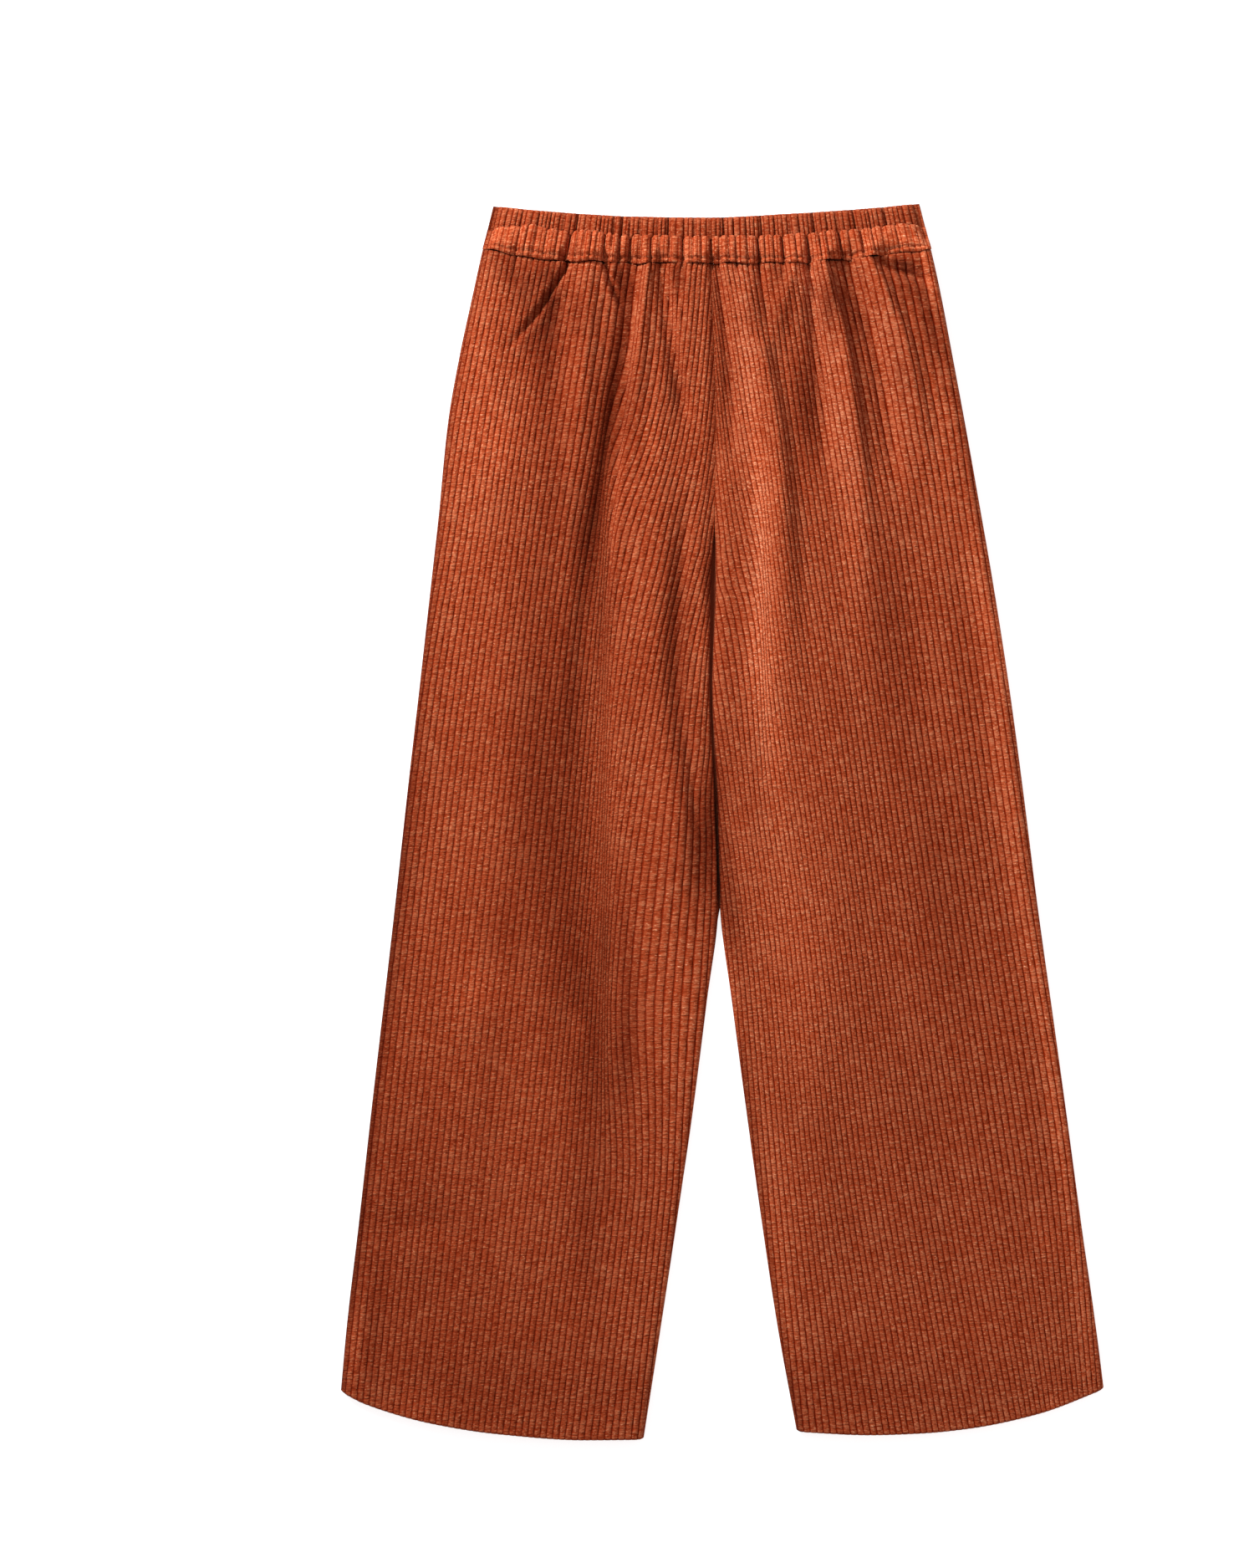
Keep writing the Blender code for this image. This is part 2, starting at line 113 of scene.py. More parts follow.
# Folds run from head to tail through a middle point. Height is positive for a ridge, negative for a trough.
# Lean narrows one flank and widens the other: positive makes the one towards the wearer's left the steeper.
Fold = namedtuple(
    "Fold", "x_head y_head x_mid y_mid x_tail y_tail width_head width_tail lean height rise fade"
)
FRONT_FOLDS = table(
    Fold,
    # the gathers under the right half of the waistband
    (-172, 440, -180, 330, -190, 150, 22, 30, 0, 2.4, 30, 160),
    (-163, 447, -163, 436, -163, 418, 4, 4, 0, -1.8, 4, 14),
    (-117, 451, -144, 406, -174, 368, 2.6, 4, 0.1, -5.6, 2, 36),
    (-106, 449, -108, 390, -122, 230, 9, 13, 0.2, 5, 6, 120),
    (-95, 452, -89, 428, -76, 403, 1.9, 2.8, 0.2, -5.8, 2, 12),
    (-64, 450, -83, 315, -106, 110, 6.5, 9.5, 0.5, -8.6, 3, 90),
    (-60, 449, -66, 386, -70, 260, 6, 10, 0.1, 4.6, 5, 110),
    (-56, 330, -52, 240, -52, 50, 16, 18, 0.2, 3.4, 90, 120),
    (-48, 447, -42, 390, -27, 305, 4.5, 6, 0.2, -6.2, 4, 36),
    (-36, 438, -33, 410, -26, 384, 2.5, 3, 0, -1.5, 4, 16),
    (-30, 447, -27, 400, -24, 330, 8, 10, 0, 2.4, 6, 70),
    # the gathers under the left half
    (-4.5, 449, 3, 385, 9, 265, 2.8, 7.5, 0.3, -6.8, 2, 60),
    (58, 449, 45, 400, 31, 342, 6.5, 9, 0, 3.6, 5, 70),
    (24, 402, 43, 300, 55, 50, 9, 18, 0.25, 8.8, 50, 200),
    (28, 447, 32, 420, 40, 392, 3, 3, 0, -2, 4, 16),
    (67, 447, 73, 395, 85, 245, 5, 9, 0.2, -7, 36, 90),
    (78, 449, 98, 367, 118, 200, 5, 11, 0.4, 7, 5, 130),
    (66, 446, 69, 430, 77, 406, 1.8, 2.6, 0.2, -2.8, 2, 14),
    (98, 449, 124, 362, 141, 235, 7, 9, 0.3, -7.2, 5, 90),
    (115, 449, 147, 367, 164, 250, 6, 13, 0.2, 6.4, 5, 110),
    (163, 450, 174, 404, 184, 346, 4, 5, 0, 2.6, 8, 50),
    # long soft folds down the right leg
    (-168, 260, -168, 60, -150, -200, 26, 30, 0, 2.4, 80, 160),
    (-101, 190, -97, -20, -86, -260, 17, 20, 0.2, -3.6, 70, 130),
    (-30, 236, -37, 120, -8, -26, 6, 8, 0.3, -4.2, 26, 40),
    (-36, 60, -33, -10, -30, -80, 13, 12, 0.3, 4.6, 60, 60),
    (-46, 70, -47, -60, -52, -270, 18, 22, 0, 2.6, 60, 120),
    (-214, -270, -222, -340, -230, -410, 20, 22, 0, -1.4, 50, 50),
    (-150, -290, -160, -370, -170, -450, 24, 24, 0, 1.4, 50, 50),
    # long soft folds down the left leg
    (85, 90, 90, -65, 92, -260, 32, 30, 0.1, 3.2, 90, 150),
    (150, 225, 160, 120, 172, -10, 18, 20, 0, -2.4, 60, 90),
    (190, 200, 212, 20, 234, -130, 18, 20, 0, -2.6, 80, 110),
    (208, 210, 231, 30, 252, -130, 9, 10, 0, 2.6, 80, 110),
    (72, -160, 76, -260, 86, -370, 18, 18, 0, 2, 60, 70),
    (168, -240, 184, -330, 202, -430, 20, 22, 0, -1.6, 60, 60),
)
FOLD_HEAD = 0.5  # share of its height that a fold has at its head
FOLD_REACH = 3.2  # widths at which a fold has died away
NARROW_FOLD = 4.2
COURSE_FOLDS = tuple(fold for fold in FRONT_FOLDS if fold.width_head >= NARROW_FOLD)
# Hollows that no fold runs through. Slope is how far they rise along Y for each millimetre across.
Dent = namedtuple("Dent", "x y across along slope depth")
FRONT_DENTS = table(
    Dent,
    (-136, 400, 8, 12, 0.4, 3), (-80.5, 431, 6, 12, 0, 4.5), (144, 436.5, 19, 5.5, -0.34, 9),
    (12, 440, 5, 5, 0, 2), (29, 436, 9, 6, 0, 2), (97, 417, 8, 13, 0, 3.2), (96, 443, 6, 5, 0, 0.8),
    (-31, 437, 4, 5, 0, 2.6), (-6, -10, 20, 60, 0, 4.2),
)
BACK_FOLDS = table(
    Fold,
    (-143, 461, -150, 410, -160, 330, 8, 13, 0, 3, 5, 80),
    (-44, 461, -46, 400, -50, 300, 8, 13, 0, 2.6, 5, 90),
    (20, 461, 22, 400, 28, 290, 8, 13, 0, 3, 5, 100),
    (84, 461, 88, 410, 92, 320, 7, 12, 0, 2.6, 5, 80),
    (128, 461, 134, 410, 142, 330, 7, 12, 0, 2.6, 5, 80),
)

# ---- Wales ----
WALE = 4.9  # from one wale to the next
# A wale's cross-section: share of its width and height of the pile there
RibPoint = namedtuple("RibPoint", "share height")
RIB = table(
    RibPoint,
    (0, -0.72), (0.09, -0.36), (0.19, 0.11), (0.5, 0.26), (0.81, 0.11), (0.91, -0.36), (1, -0.72),
)
RIB_TOP = 0.26
RIB_WANDER = 0.028  # how far a rib's edges wander, in wales
WANDER_LENGTHS = (2.4, 5.1)
RIB_UNEVEN, UNEVEN_LENGTH = 0.22, 2.1  # how far a rib's height varies, as a share, and over which length
SCATTER = (12.9898, 43758.5453)
HEM_FLATTEN, HEM_RELIEF = 3.0, 0.25  # wales flatten this near a hem's edge, to this share
EDGE_FLATTEN, EDGE_RELIEF = 2.0, 0.15  # the same near a seam
# Stripes where the wales are crowded together beside a fold. They spread out again over the stretch to the
# right of it, or to the left where spread is negative.
Crowd = namedtuple("Crowd", "x y_top y_bottom width wales spread")
CROWDS = table(Crowd, (-93, 390, -300, 4, 4.2, 76), (33, 340, -10, 3.3, 3.6, -40))
CROWD_FADE = 170.0
CROWDED_RELIEF = 0.4  # least share of their height that crowded wales keep
LEAST_STEP = 0.001  # keeps a division from failing where columns have run together
# The course of some wales down each front, with how many wales lie between them
Guide = namedtuple("Guide", "wale waist hip crotch thigh knee shin hem")
GUIDE_LEVELS = (452.8, 320.1, 220.6, 121.1, -78.0, -277.0, -442.9)
RIGHT_GUIDES = table(
    Guide,
    (0, -161.9, -187.5, -203, -219.6, -246.2, -270, -288),
    (12, -107.5, -130, -145.3, -159.2, -184.5, -208.3, -228.2),
    (24, -51.8, -65, -84.9, -100.2, -122.7, -146.6, -168.5),
    (36, -2.7, -15.9, -32.5, -50.4, -75, -87.6, -108.8), (43, 20, 10.6, -6, -24.5, -39.8, -53.1, -72.3),
)
LEFT_GUIDES = table(
    Guide,
    (0, -27, -17, -9.3, 2.7, 31.8, 51.8, 70.3), (10.5, -6, 14.6, 27.2, 41.8, 72.3, 96.2, 123.4),
    (21.5, 38, 56.4, 71, 87.6, 117.4, 147.3, 176.5), (32.5, 78, 104.8, 122.1, 138, 168.5, 200.4, 229.6),
    (45.5, 146, 172.5, 188.4, 204.4, 234.2, 266.1, 282.7),
)

# ---- Mesh density ----
# Spacing of a panel's rows by the distance below the waist seam
RowStep = namedtuple("RowStep", "below step")
ROW_STEPS = table(RowStep, (0, 1.6), (110, 2.8), (260, 5), (880, 5.5), (915, 1.6))
ROW_SAMPLES = 700
MEETING_ROUNDS = 8  # rounds to find where two lines meet
TABLE_REACH, TABLE_STEP = 560.0, 0.5
SLOPE_STEP, HEM_SLOPE_STEP = 0.4, 0.5
GRAIN_LENGTH = 10.0  # millimetres along a wale for each unit of the grain's second coordinate
SHARP_ANGLE = 110
# Places of the columns within each wale
FRONT_SHARES = tuple(point.share for point in RIB[:-1])
BACK_SHARES = (0.0, 0.2, 0.5, 0.8)
INNER_SHARES = (0.0,)
BESIDE = (-1.0, -0.5, 0.0, 0.5, 1.0)  # wales to each side at which an inner face is kept inside the outer one
SPAN_ROWS = 8  # rows that are traced to find how far the wales' numbers go
EDGE_MERGE = 0.25  # columns nearer than this to a seam end on it
FOLD_ANGLES = (30, 65, 100, 140, 180)  # of the columns' points round a hem's edge
LEAST_PRESS = 0.05  # however little room there is, layers keep this share of their thickness

# ---- Waistband ----
BAND_WALE = 4.3  # wales of the casing, drawn together by the elastic
BAND_HALF = 2.9  # half the casing's thickness
BAND_END_HALF = 0.2  # share of it that is left at the side seams
BAND_ROLL = 12.0
BAND_TUCK, END_TUCK = 3.0, 1.0  # how far the back casing reaches under the front one
TUCK_START, TUCK_FULL = 15.0, 65.0  # how far from the side seams it starts to, and does so in full
FRONT_BAND_END, FRONT_BAND_HIGH = 2.9, 8.9  # height of the front casing's top edge at its ends and elsewhere
BACK_BAND_END, BACK_BAND_LIFT = 1.2, 0.35  # of the back one's middle at its ends, and its rise elsewhere
EDGE_FOLLOW, EDGE_SINK = 0.12, 0.3  # how the front casing's lower edge lies on the gathered panel
# Splits between the puffs of the gathered casing. Reach is how far one runs down into the panel.
Gather = namedtuple("Gather", "x depth width reach lean", defaults=(1, 0, 0))
FRONT_GATHERS = table(
    Gather,
    (-174, 0.5, 1, 5, -0.2), (-163, 1.2, 0.9, 6, -0.2), (-157, 0.8, 0.8, 5, -0.2), (-150, 1.5, 0.9, 7, -0.3),
    (-141, 0.7, 1, 8, -0.3), (-132, 0.9, 0.9, 7, -0.3), (-122, 4.2, 2, 12, -0.4), (-116, 1.4, 0.8),
    (-110, 1, 0.8), (-105, 1.2, 0.8), (-100, 0.9, 0.8), (-94, 2.2, 0.9, 6, 0.6), (-88, 1.1, 0.8, 6, 0.3),
    (-82, 2, 1, 8, 0.2), (-73.5, 3.8, 1.7, 14, 0.1), (-65, 0.8, 0.8, 6), (-57, 2.4, 1, 12, 0.1),
    (-50, 1, 0.9, 8), (-42, 1.4, 0.9, 8), (-31.5, 2.6, 1.1, 14, 0.1), (-24, 0.7, 0.9, 6), (-17, 0.9, 0.9, 6),
    (-9, 3.6, 1.4, 10), (-2, 0.8, 0.9, 5, 0.1), (5, 1.2, 0.9, 6, 0.1), (11, 1.6, 0.9, 8), (20, 1.4, 0.9, 9),
    (28.5, 3.2, 1.2, 14, 0.1), (34, 1, 0.8, 6), (41, 1, 0.8, 6), (48, 2.6, 1.1, 12, 0.1),
    (58.5, 1.6, 0.8, 8, 0.1), (68, 3, 1.1, 12, 0.5), (78, 1.8, 1, 12, 0.3), (83.5, 1.6, 0.9, 8, 0.2),
    (94, 3, 1.2, 16, 0.3), (102, 1.2, 0.9, 6, 0.3), (111.5, 2, 1, 9, 0.3), (121, 1, 1, 5, 0.3),
    (130, 0.7, 1, 5, 0.3), (141, 1.4, 0.9, 4, 0.2), (152, 0.6, 1, 4, 0.2),
)
BACK_GATHERS = table(
    Gather,
    (-172, 0.5), (-160, 0.9), (-147, 0.6), (-137, 0.5), (-127, 1.2, 1.1), (-116, 2.4, 1.1), (-107, 0.6),
    (-97, 0.7), (-86, 1.8), (-80, 2.8, 1.3), (-74, 1.8), (-65, 1.3), (-52, 0.8), (-43, 2.2, 1.1), (-30, 0.9),
    (-22, 1.4), (-10, 0.8), (1, 2.3, 1.1), (9, 1.2), (19, 0.9), (31, 2, 1.1), (42, 1), (54, 1.4), (62, 0.8),
    (73, 2.3, 1.1), (84, 1), (92, 1.2), (106, 2.2, 1.1), (118, 0.8), (131, 2), (146, 0.6),
)
TUCK_SHARE, TUCK_LENGTH = 0.8, 34.0  # a tuck's depth as a share of its split's, and how far down it may run
TUCK_SPREAD, TUCK_RUN = 0.6, 2.0  # how a tuck widens and how many reaches it lasts
PUFF_RISE = 3.0  # how far a puff swells between two splits
LOBE_RISE = 0.9  # the same between any two splits, however shallow
PUFF_SPAN = 11.0  # a puff this wide swells about two thirds of the way
MAIN_SPLIT = 1.9  # splits at least this deep part two puffs
SCALLOP, LOBE_SCALLOP = 0.6, 1.3  # how far the top edge follows the puffs and their lobes
TOP_NOTCH, LOW_NOTCH = 0.8, 0.35  # share of a split's depth by which it notches the edges
ROPE_DEPTH = 1.5  # the stitched groove over the casing's lower edge
ROPE_AT, ROPE_WIDTH = 0.17, 0.045
ROPE_THIN, ROPE_RUN = 0.45, 0.4  # share of the casing's thickness at that edge, and where it is full again
RISE_RUN = 1.4  # the casing's middle rises over this share of its depth
SWELL_RIM, SPLIT_RIM = 0.45, 0.55  # share of swells and splits that is left along the edges
CASING_RIM, RIM_START, RIM_RUN = 0.2, 0.6, 0.18  # share of the pile's height left there, and from where
END_PILE = 0.1  # share of it that is left at the side seams
# Puffs that stand out more than their neighbours
Puff = namedtuple("Puff", "x width rise top")
FRONT_PUFFS = table(
    Puff,
    (-155, 7, 0.8, 2), (-107, 14, 2.4, 1.6), (-88, 5, 0.6, 0.6), (62, 6, 1, 0.6), (88, 6, 0.9, 0.8),
    (146, 8, 0.6, 0.8),
)
Wave = namedtuple("Wave", "size length phase")
BAND_WAVES = table(Wave, (0.22, 3.7, 0), (0.22, 6.9, 1.3))  # of the wales, in wales
EDGE_WAVES = table(Wave, (0.5, 4.3, 0), (0.4, 7.1, 2))
TOP_WAVES = table(Wave, (0.5, 17, 0), (0.4, 9.1, 1))
CASING_SAMPLES = 3000
CASING_TOP_STEPS, CASING_UNDER_STEPS = 30, 8
CASING_FULLNESS = 0.42  # lower makes the casing's edges squarer
CASING_LEAST = 0.4  # least thickness
CASING_MERGE = 0.05  # wales nearer than this to a casing's end are left out
FLOOR_CLEAR = 0.02
UNDER_GRAIN = 40.0  # moves the casing's far side to another stretch of the grain
LEAST_ARCH = 1e-6
TINY = 1e-9

# ---- Nap and painted light and shade: patches where the pile lies another way, and patches painted where folds are lit or in shade ----
Patch = namedtuple("Patch", "x y across along tone lean", defaults=(0,))
SLIT_PAINTED_SHADE, SLIT_REACH, SLIT_FADE = -0.7, 1.7, 20.0  # painted shade in the slit between the legs, above where they part
INSEAM_PAINTED_SHADE, INSEAM_FADE = -0.5, 60.0  # painted shade along the left leg's inseam
RIM_PAINTED_SHADE, RIM_REACH = -0.55, 5.5  # painted shade along the outline on the wearer's right
NAP_AND_SHADE_PATCHES = table(
    Patch,
    # the right leg
    (-193, 320, 25, 130, 0.18, 0.12), (-138, 382, 11, 60, -0.42, 0.1), (-158, 430, 13, 18, -0.3, -0.1),
    (-140, 434, 9, 11, -0.34, 0.2), (-174, 450, 12, 7, -0.25, -0.2), (-116, 451, 5, 8, -0.4),
    (-99, 449, 5, 14, 0.36), (-88, 453, 3.5, 8, 0.2), (-175, 380, 9, 40, -0.14),
    (-174, 436, 10, 18, -0.22, -0.1), (-155, 408, 9, 26, -0.24, -0.2), (-137, 457, 7, 7, 0.22),
    (-113, 400, 8, 25, -0.14), (-200, -380, 70, 90, -0.12, 0.12), (-270, -330, 60, 150, -0.16, 0.12),
    (-255, -310, 36, 12, -0.1), (-136, 20, 30, 170, -0.36, -0.04), (-104, -177, 20, 90, -0.34, -0.12),
    (-77, -110, 9, 70, -0.28, -0.05), (-87, 345, 7, 80, -0.56, 0.16), (-102, 225, 8, 75, -0.52, 0.12),
    (-113, 235, 8, 45, -0.32, 0.1), (-134, 275, 13, 80, -0.24, 0.06), (-120, 105, 9, 60, -0.22),
    (-94, -98, 6, 28, -0.22), (-276, -400, 8, 60, -0.15, 0.1), (-77, -185, 9, 42, -0.3),
    (-178, -130, 16, 160, -0.15, 0.1), (-252, -60, 12, 150, -0.2, 0.12), (-240, -462, 26, 14, 0.16),
    (-94, 160, 9, 55, -0.28, 0.1), (-108, -320, 14, 70, -0.22, -0.05), (-75, 325, 7, 38, -0.24, 0.1),
    (-36, 342, 7, 26, -0.24), (-36, 432, 6, 14, -0.46), (-80, 427, 7, 16, -0.5),
    (-87, 424, 2.2, 17, -0.2, -0.51), (-56, 314, 6, 32, 0.24), (-137, 394, 8, 13, -0.25, 0.4),
    (-36, -150, 16, 80, 0.26), (-93, 60, 5, 190, -0.02), (-96, 434, 6, 12, 0.4),
    (-135, 413, 7, 10, -0.36, 0.3), (-155, 380, 8, 16, -0.28), (-115, 404, 6, 20, -0.2),
    (-175, 300, 9, 25, 0.24, 0.1), (-115, -164, 8, 16, 0.28), (-195, -131, 26, 24, 0.2),
    (-228, -332, 34, 12, 0.14), (-294, -413, 6, 34, 0.3, 0.1),
    # about the fork
    (-16, 135, 7, 40, 0.18), (-11, -6, 11, 56, -0.62, 0.06), (4, -71, 12, 34, -0.42, -0.1),
    (-11, 190, 5, 30, -0.5), (-8.8, 392, 1.8, 60, -0.45, -0.02), (-16, 400, 3.6, 62, 0.32),
    (4, 370, 6, 60, -0.12, -0.05), (-37, 115, 10, 75, -0.36), (-36, 185, 8, 32, -0.16), (5, -30, 6, 25, -0.2),
    # the left leg
    (120, 330, 40, 110, 0.06, -0.1), (143, 460, 26, 10, 0.32), (84, 439, 6, 7, 0.3),
    (123, 432, 8, 22, 0.2, -0.2), (64, 172, 10, 55, 0.18, -0.05), (103, 300, 8, 30, -0.14, -0.1),
    (101, 398, 7, 26, -0.2, -0.1), (44, 101, 5, 20, -0.2), (103, 215, 9, 40, 0.15), (24, 132, 7, 50, 0.14),
    (31, 175, 5, 110, 0.2, -0.02), (26, 290, 9, 110, 0.32, -0.12), (37, 110, 12, 100, 0.46, -0.06),
    (102, 270, 11, 110, 0.26, -0.06), (172, 285, 12, 70, 0.22, -0.12), (103, 405, 7, 22, -0.36, -0.2),
    (64, 330, 9, 40, -0.46, -0.1), (104, 340, 8, 36, -0.18, -0.1), (44, 267, 8, 22, 0.24, -0.05),
    (84, 408, 6, 20, -0.56, -0.1), (44, 436, 7, 12, -0.4), (44, 402, 8, 16, -0.28), (62, 434, 7, 15, 1),
    (24, 404, 6, 22, -0.24), (44, 342, 8, 26, 0.22, -0.05), (4, 350, 7, 18, -0.22),
    (143, 352, 8, 20, -0.25, -0.2), (143, 441, 7, 6, -0.28, -0.3), (46, -363, 8, 60, 0.24, -0.13),
    (256, -330, 12, 24, 0.2, -0.1), (24, 130, 8, 50, 0.18), (158, 455, 7, 9, 0.36, -0.2),
    (128, 170, 20, 85, -0.26, -0.1), (203, 187, 10, 60, 0.25, -0.12), (222, 130, 6, 40, 0.64, -0.13),
    (226, 22, 14, 60, 0.25, -0.12), (244, -98, 12, 60, 0.25, -0.12), (263, -215, 8, 90, 0.48, -0.13),
    (284, -370, 9, 80, 0.22, -0.13), (52, -100, 32, 100, 0.24, -0.05), (44, -287, 14, 90, 0.2, -0.13),
    (172, -60, 26, 120, -0.2, -0.12), (150, -230, 26, 60, -0.1, -0.1), (165, 390, 9, 32, -0.48, -0.2),
    (150, 445, 13, 6, -0.22, -0.3), (144, 437, 6, 7, -0.5, -2.94), (147, 422, 16, 14, -0.3, -0.2),
    (163.5, 430, 3.6, 26, 0.65, -0.2),
    # the hems, mostly painted shade where the light falls off towards them
    (263, -463, 10, 10, 0.25), (-160, -455, 140, 45, -0.16), (120, -450, 120, 36, -0.12),
)
# Where the pile is worn softer, with shallower and warmer grooves, or crisper where the tone is negative.
# They also paint shade, darker and warmer where soft, and light where crisp.
WEAR_AND_SHADE_PATCHES = table(
    Patch,
    (-170, -200, 130, 480, 0.34, 0.1), (-92, 305, 7, 90, 0.45, 0.12), (18, 380, 9, 80, -0.6),
    (30, 180, 10, 130, -0.5), (92, 340, 12, 110, -0.5, -0.2), (140, 350, 10, 100, -0.4, -0.2),
)
SOFT_RELIEF, SOFT_PAINTED_SHADE = 0.6, 0.15  # how far softness takes away from the wales' height, and how far it darkens the tone as painted shade


def smooth(share):
    share = np.clip(share, 0.0, 1.0)
    return share * share * (3.0 - 2.0 * share)


def mix(start, end, share):
    return start + (end - start) * share


def bell(*offsets):
    """A soft bump: 1 where every offset is 0, and gone at about 2."""
    return np.exp(-sum(offset**2 for offset in offsets))


def waves(rows, x):
    return sum(wave.size * np.sin(x / wave.length + wave.phase) for wave in rows)


def curve(places, values):
    """A smooth function through the given values that never overshoots them, straight beyond its ends."""
    order = np.argsort(places)
    x = np.asarray(places, float)[order]
    y = np.asarray(values, float)[order]
    steps = np.diff(y) / np.diff(x)
    product = steps[:-1] * steps[1:]
    total = np.where(product > 0, steps[:-1] + steps[1:], 1.0)
    bends = np.where(product > 0, 2 * product / total, 0.0)
    slopes = np.concatenate(([steps[0]], bends, [steps[-1]]))

    def value(at):
        at = np.asarray(at, float)
        i = np.clip(np.searchsorted(x, at) - 1, 0, len(x) - 2)
        span = x[i + 1] - x[i]
        t = np.clip((at - x[i]) / span, 0.0, 1.0)
        ease = t * t * (3.0 - 2.0 * t)
        bend = t * (1 - t) ** 2 * slopes[i] + t * t * (t - 1) * slopes[i + 1]
        before = np.minimum(at - x[0], 0.0) * slopes[0]
        after = np.maximum(at - x[-1], 0.0) * slopes[-1]
        return mix(y[i], y[i + 1], ease) + span * bend + before + after

    return value


def tabled(places, values):
    """A curve of places along or across the trousers, read from a fine table, which is faster."""
    fine = np.arange(-TABLE_REACH, TABLE_REACH, TABLE_STEP)
    heights = curve(places, values)(fine)
    return lambda at: np.interp(at, fine, heights)


back_waist, front_waist, front_seam, hem_right, hem_left, loft = (
    tabled(*zip(*rows)) for rows in (BACK_WAIST, FRONT_WAIST, FRONT_SEAM, HEM_RIGHT, HEM_LEFT, LOFTS)
)
level_heights, *level_edges = zip(*LEVELS)
side_right, seam_right, seam_left, side_left = (tabled(level_heights, edge) for edge in level_edges)


def seam_middle(y):
    return (seam_right(y) + seam_left(y)) / 2


def inner_right(y):
    return seam_right(y) - EDGE_GAP / 2


def inner_left(y):
    return seam_left(y) + EDGE_GAP / 2


def back_inner(seam, y):
    """The back's inseam, and its centre seam where the legs touch."""
    together = smooth((y - LEGS_PART) / (LEGS_TOUCH - LEGS_PART))
    return mix(seam(y), seam_middle(y) + BACK_SHIFT, together)


def back_inner_right(y):
    return back_inner(seam_right, y) - EDGE_GAP / 2


def back_inner_left(y):
    return back_inner(seam_left, y) + EDGE_GAP / 2


def roll(distance, reach):
    """A quarter ellipse: 0 at the seam, 1 from reach onwards."""
    share = np.clip(distance / reach, 0.0, 1.0)
    return np.sqrt(1.0 - (1.0 - share) ** 2)


def start_sum(x, y):
    """The points as arrays of one shape, and zeros to add to."""
    x, y = np.broadcast_arrays(np.asarray(x, float), np.asarray(y, float))
    return x, y, np.zeros(x.shape)


def fold_height(fold, x, y):
    line = curve((fold.y_head, fold.y_mid, fold.y_tail), (fold.x_head, fold.x_mid, fold.x_tail))
    share = np.clip((fold.y_head - y) / (fold.y_head - fold.y_tail), 0.0, 1.0)
    width = mix(fold.width_head, fold.width_tail, share)
    off = x - line(y)
    width = width * (1.0 - fold.lean * np.tanh(off / width))
    grow = mix(FOLD_HEAD, 1.0, smooth((fold.y_head - y) / fold.rise))
    grow = grow * smooth((fold.y_head + fold.rise - y) / fold.rise)
    return fold.height * grow * smooth((y - fold.y_tail) / fold.fade) * bell(off / width)


def folds(rows, x, y):
    x, y, total = start_sum(x, y)
    for fold in rows:
        places = (fold.x_head, fold.x_mid, fold.x_tail)
        reach = FOLD_REACH * max(fold.width_head, fold.width_tail)
        near = (x > min(places) - reach) & (x < max(places) + reach)
        near &= (y > fold.y_tail) & (y < fold.y_head + fold.rise)
        total[near] += fold_height(fold, x[near], y[near])
    return total


def seam_distances(x, y):
    """Distances from a point to its panel's side seam and to its centre seam or inseam."""
    on_right = x < seam_middle(y)
    side = np.where(on_right, x - side_right(y), side_left(y) - x)
    inner = np.where(on_right, inner_right(y) - x, x - inner_left(y))
    return side, inner


def below_fork(y):
    return smooth((FORK_TOP - y) / (FORK_TOP - FORK_BOTTOM))


def back_lift(x, y):
    side, inner = seam_distances(x, y)
    return folds(BACK_FOLDS, x, y) * roll(side, 2 * ROLL) * roll(inner, 2 * ROLL)


def back_low(x, y):
    """Height of the back's outer face, which lies on the surface between its gathers."""
    side, inner = seam_distances(x, y)
    at_side = 1.0 - roll(side, BACK_ROLL)
    at_inner = (1.0 - roll(inner, BACK_ROLL)) * below_fork(y)
    return RIB_TOP * (1.0 + RIB_UNEVEN) + back_lift(x, y) + BACK_LIFT * np.maximum(at_side, at_inner)


def dents(x, y):
    total = 0.0
    for dent in FRONT_DENTS:
        off_x = x - dent.x
        off_y = y - dent.y - dent.slope * off_x
        total = total + dent.depth * bell(off_x / dent.across, off_y / dent.along)
    return total


def tucks(x, y):
    """Depth of the short tucks that the casing's splits leave in the panel under it."""
    x, y, total = start_sum(x, y)
    near = y > front_seam(x) - TUCK_LENGTH
    below, at = (front_seam(x) - y)[near], x[near]
    for gather in FRONT_GATHERS:
        if gather.reach:
            off = at - gather.x - gather.lean * below
            width = gather.width * (1.0 + below / gather.reach * TUCK_SPREAD)
            fade = smooth(1.0 - below / (TUCK_RUN * gather.reach))
            total[near] += TUCK_SHARE * gather.depth * fade * bell(off / width)
    return total


def front_top(x, y, rows=FRONT_FOLDS, hollows=1.0):
    """Height of the front's outer face: the loft and its folds, rounded down to every seam."""
    side, inner = seam_distances(x, y)
    lowest = FRONT_REST + back_lift(x, y)
    body = np.maximum(loft(y) + folds(rows, x, y) - hollows * (dents(x, y) + tucks(x, y)), lowest)
    body = np.maximum(body - SEAM_DIP * bell((front_seam(x) - y) / SEAM_DIP_REACH), lowest)
    seamed = np.maximum(body - SEAM_GROOVE * bell(inner / SEAM_GROOVE_WIDTH), lowest)
    rolled = mix(EDGE_HEIGHT, body, roll(inner, ROLL))
    return mix(EDGE_HEIGHT, mix(seamed, rolled, below_fork(y)), roll(side, ROLL))


def front_course(x, y):
    """The same without the narrow folds and hollows, which the wales run straight through."""
    return front_top(x, y, COURSE_FOLDS, 0.0)


def parting(x, y):
    """Height of the plane between the front's and the back's layers."""
    return (front_top(x, y) + back_low(x, y)) / 2


def band_end_distance(x, y):
    return np.minimum(x - side_right(y), side_left(y) - x)


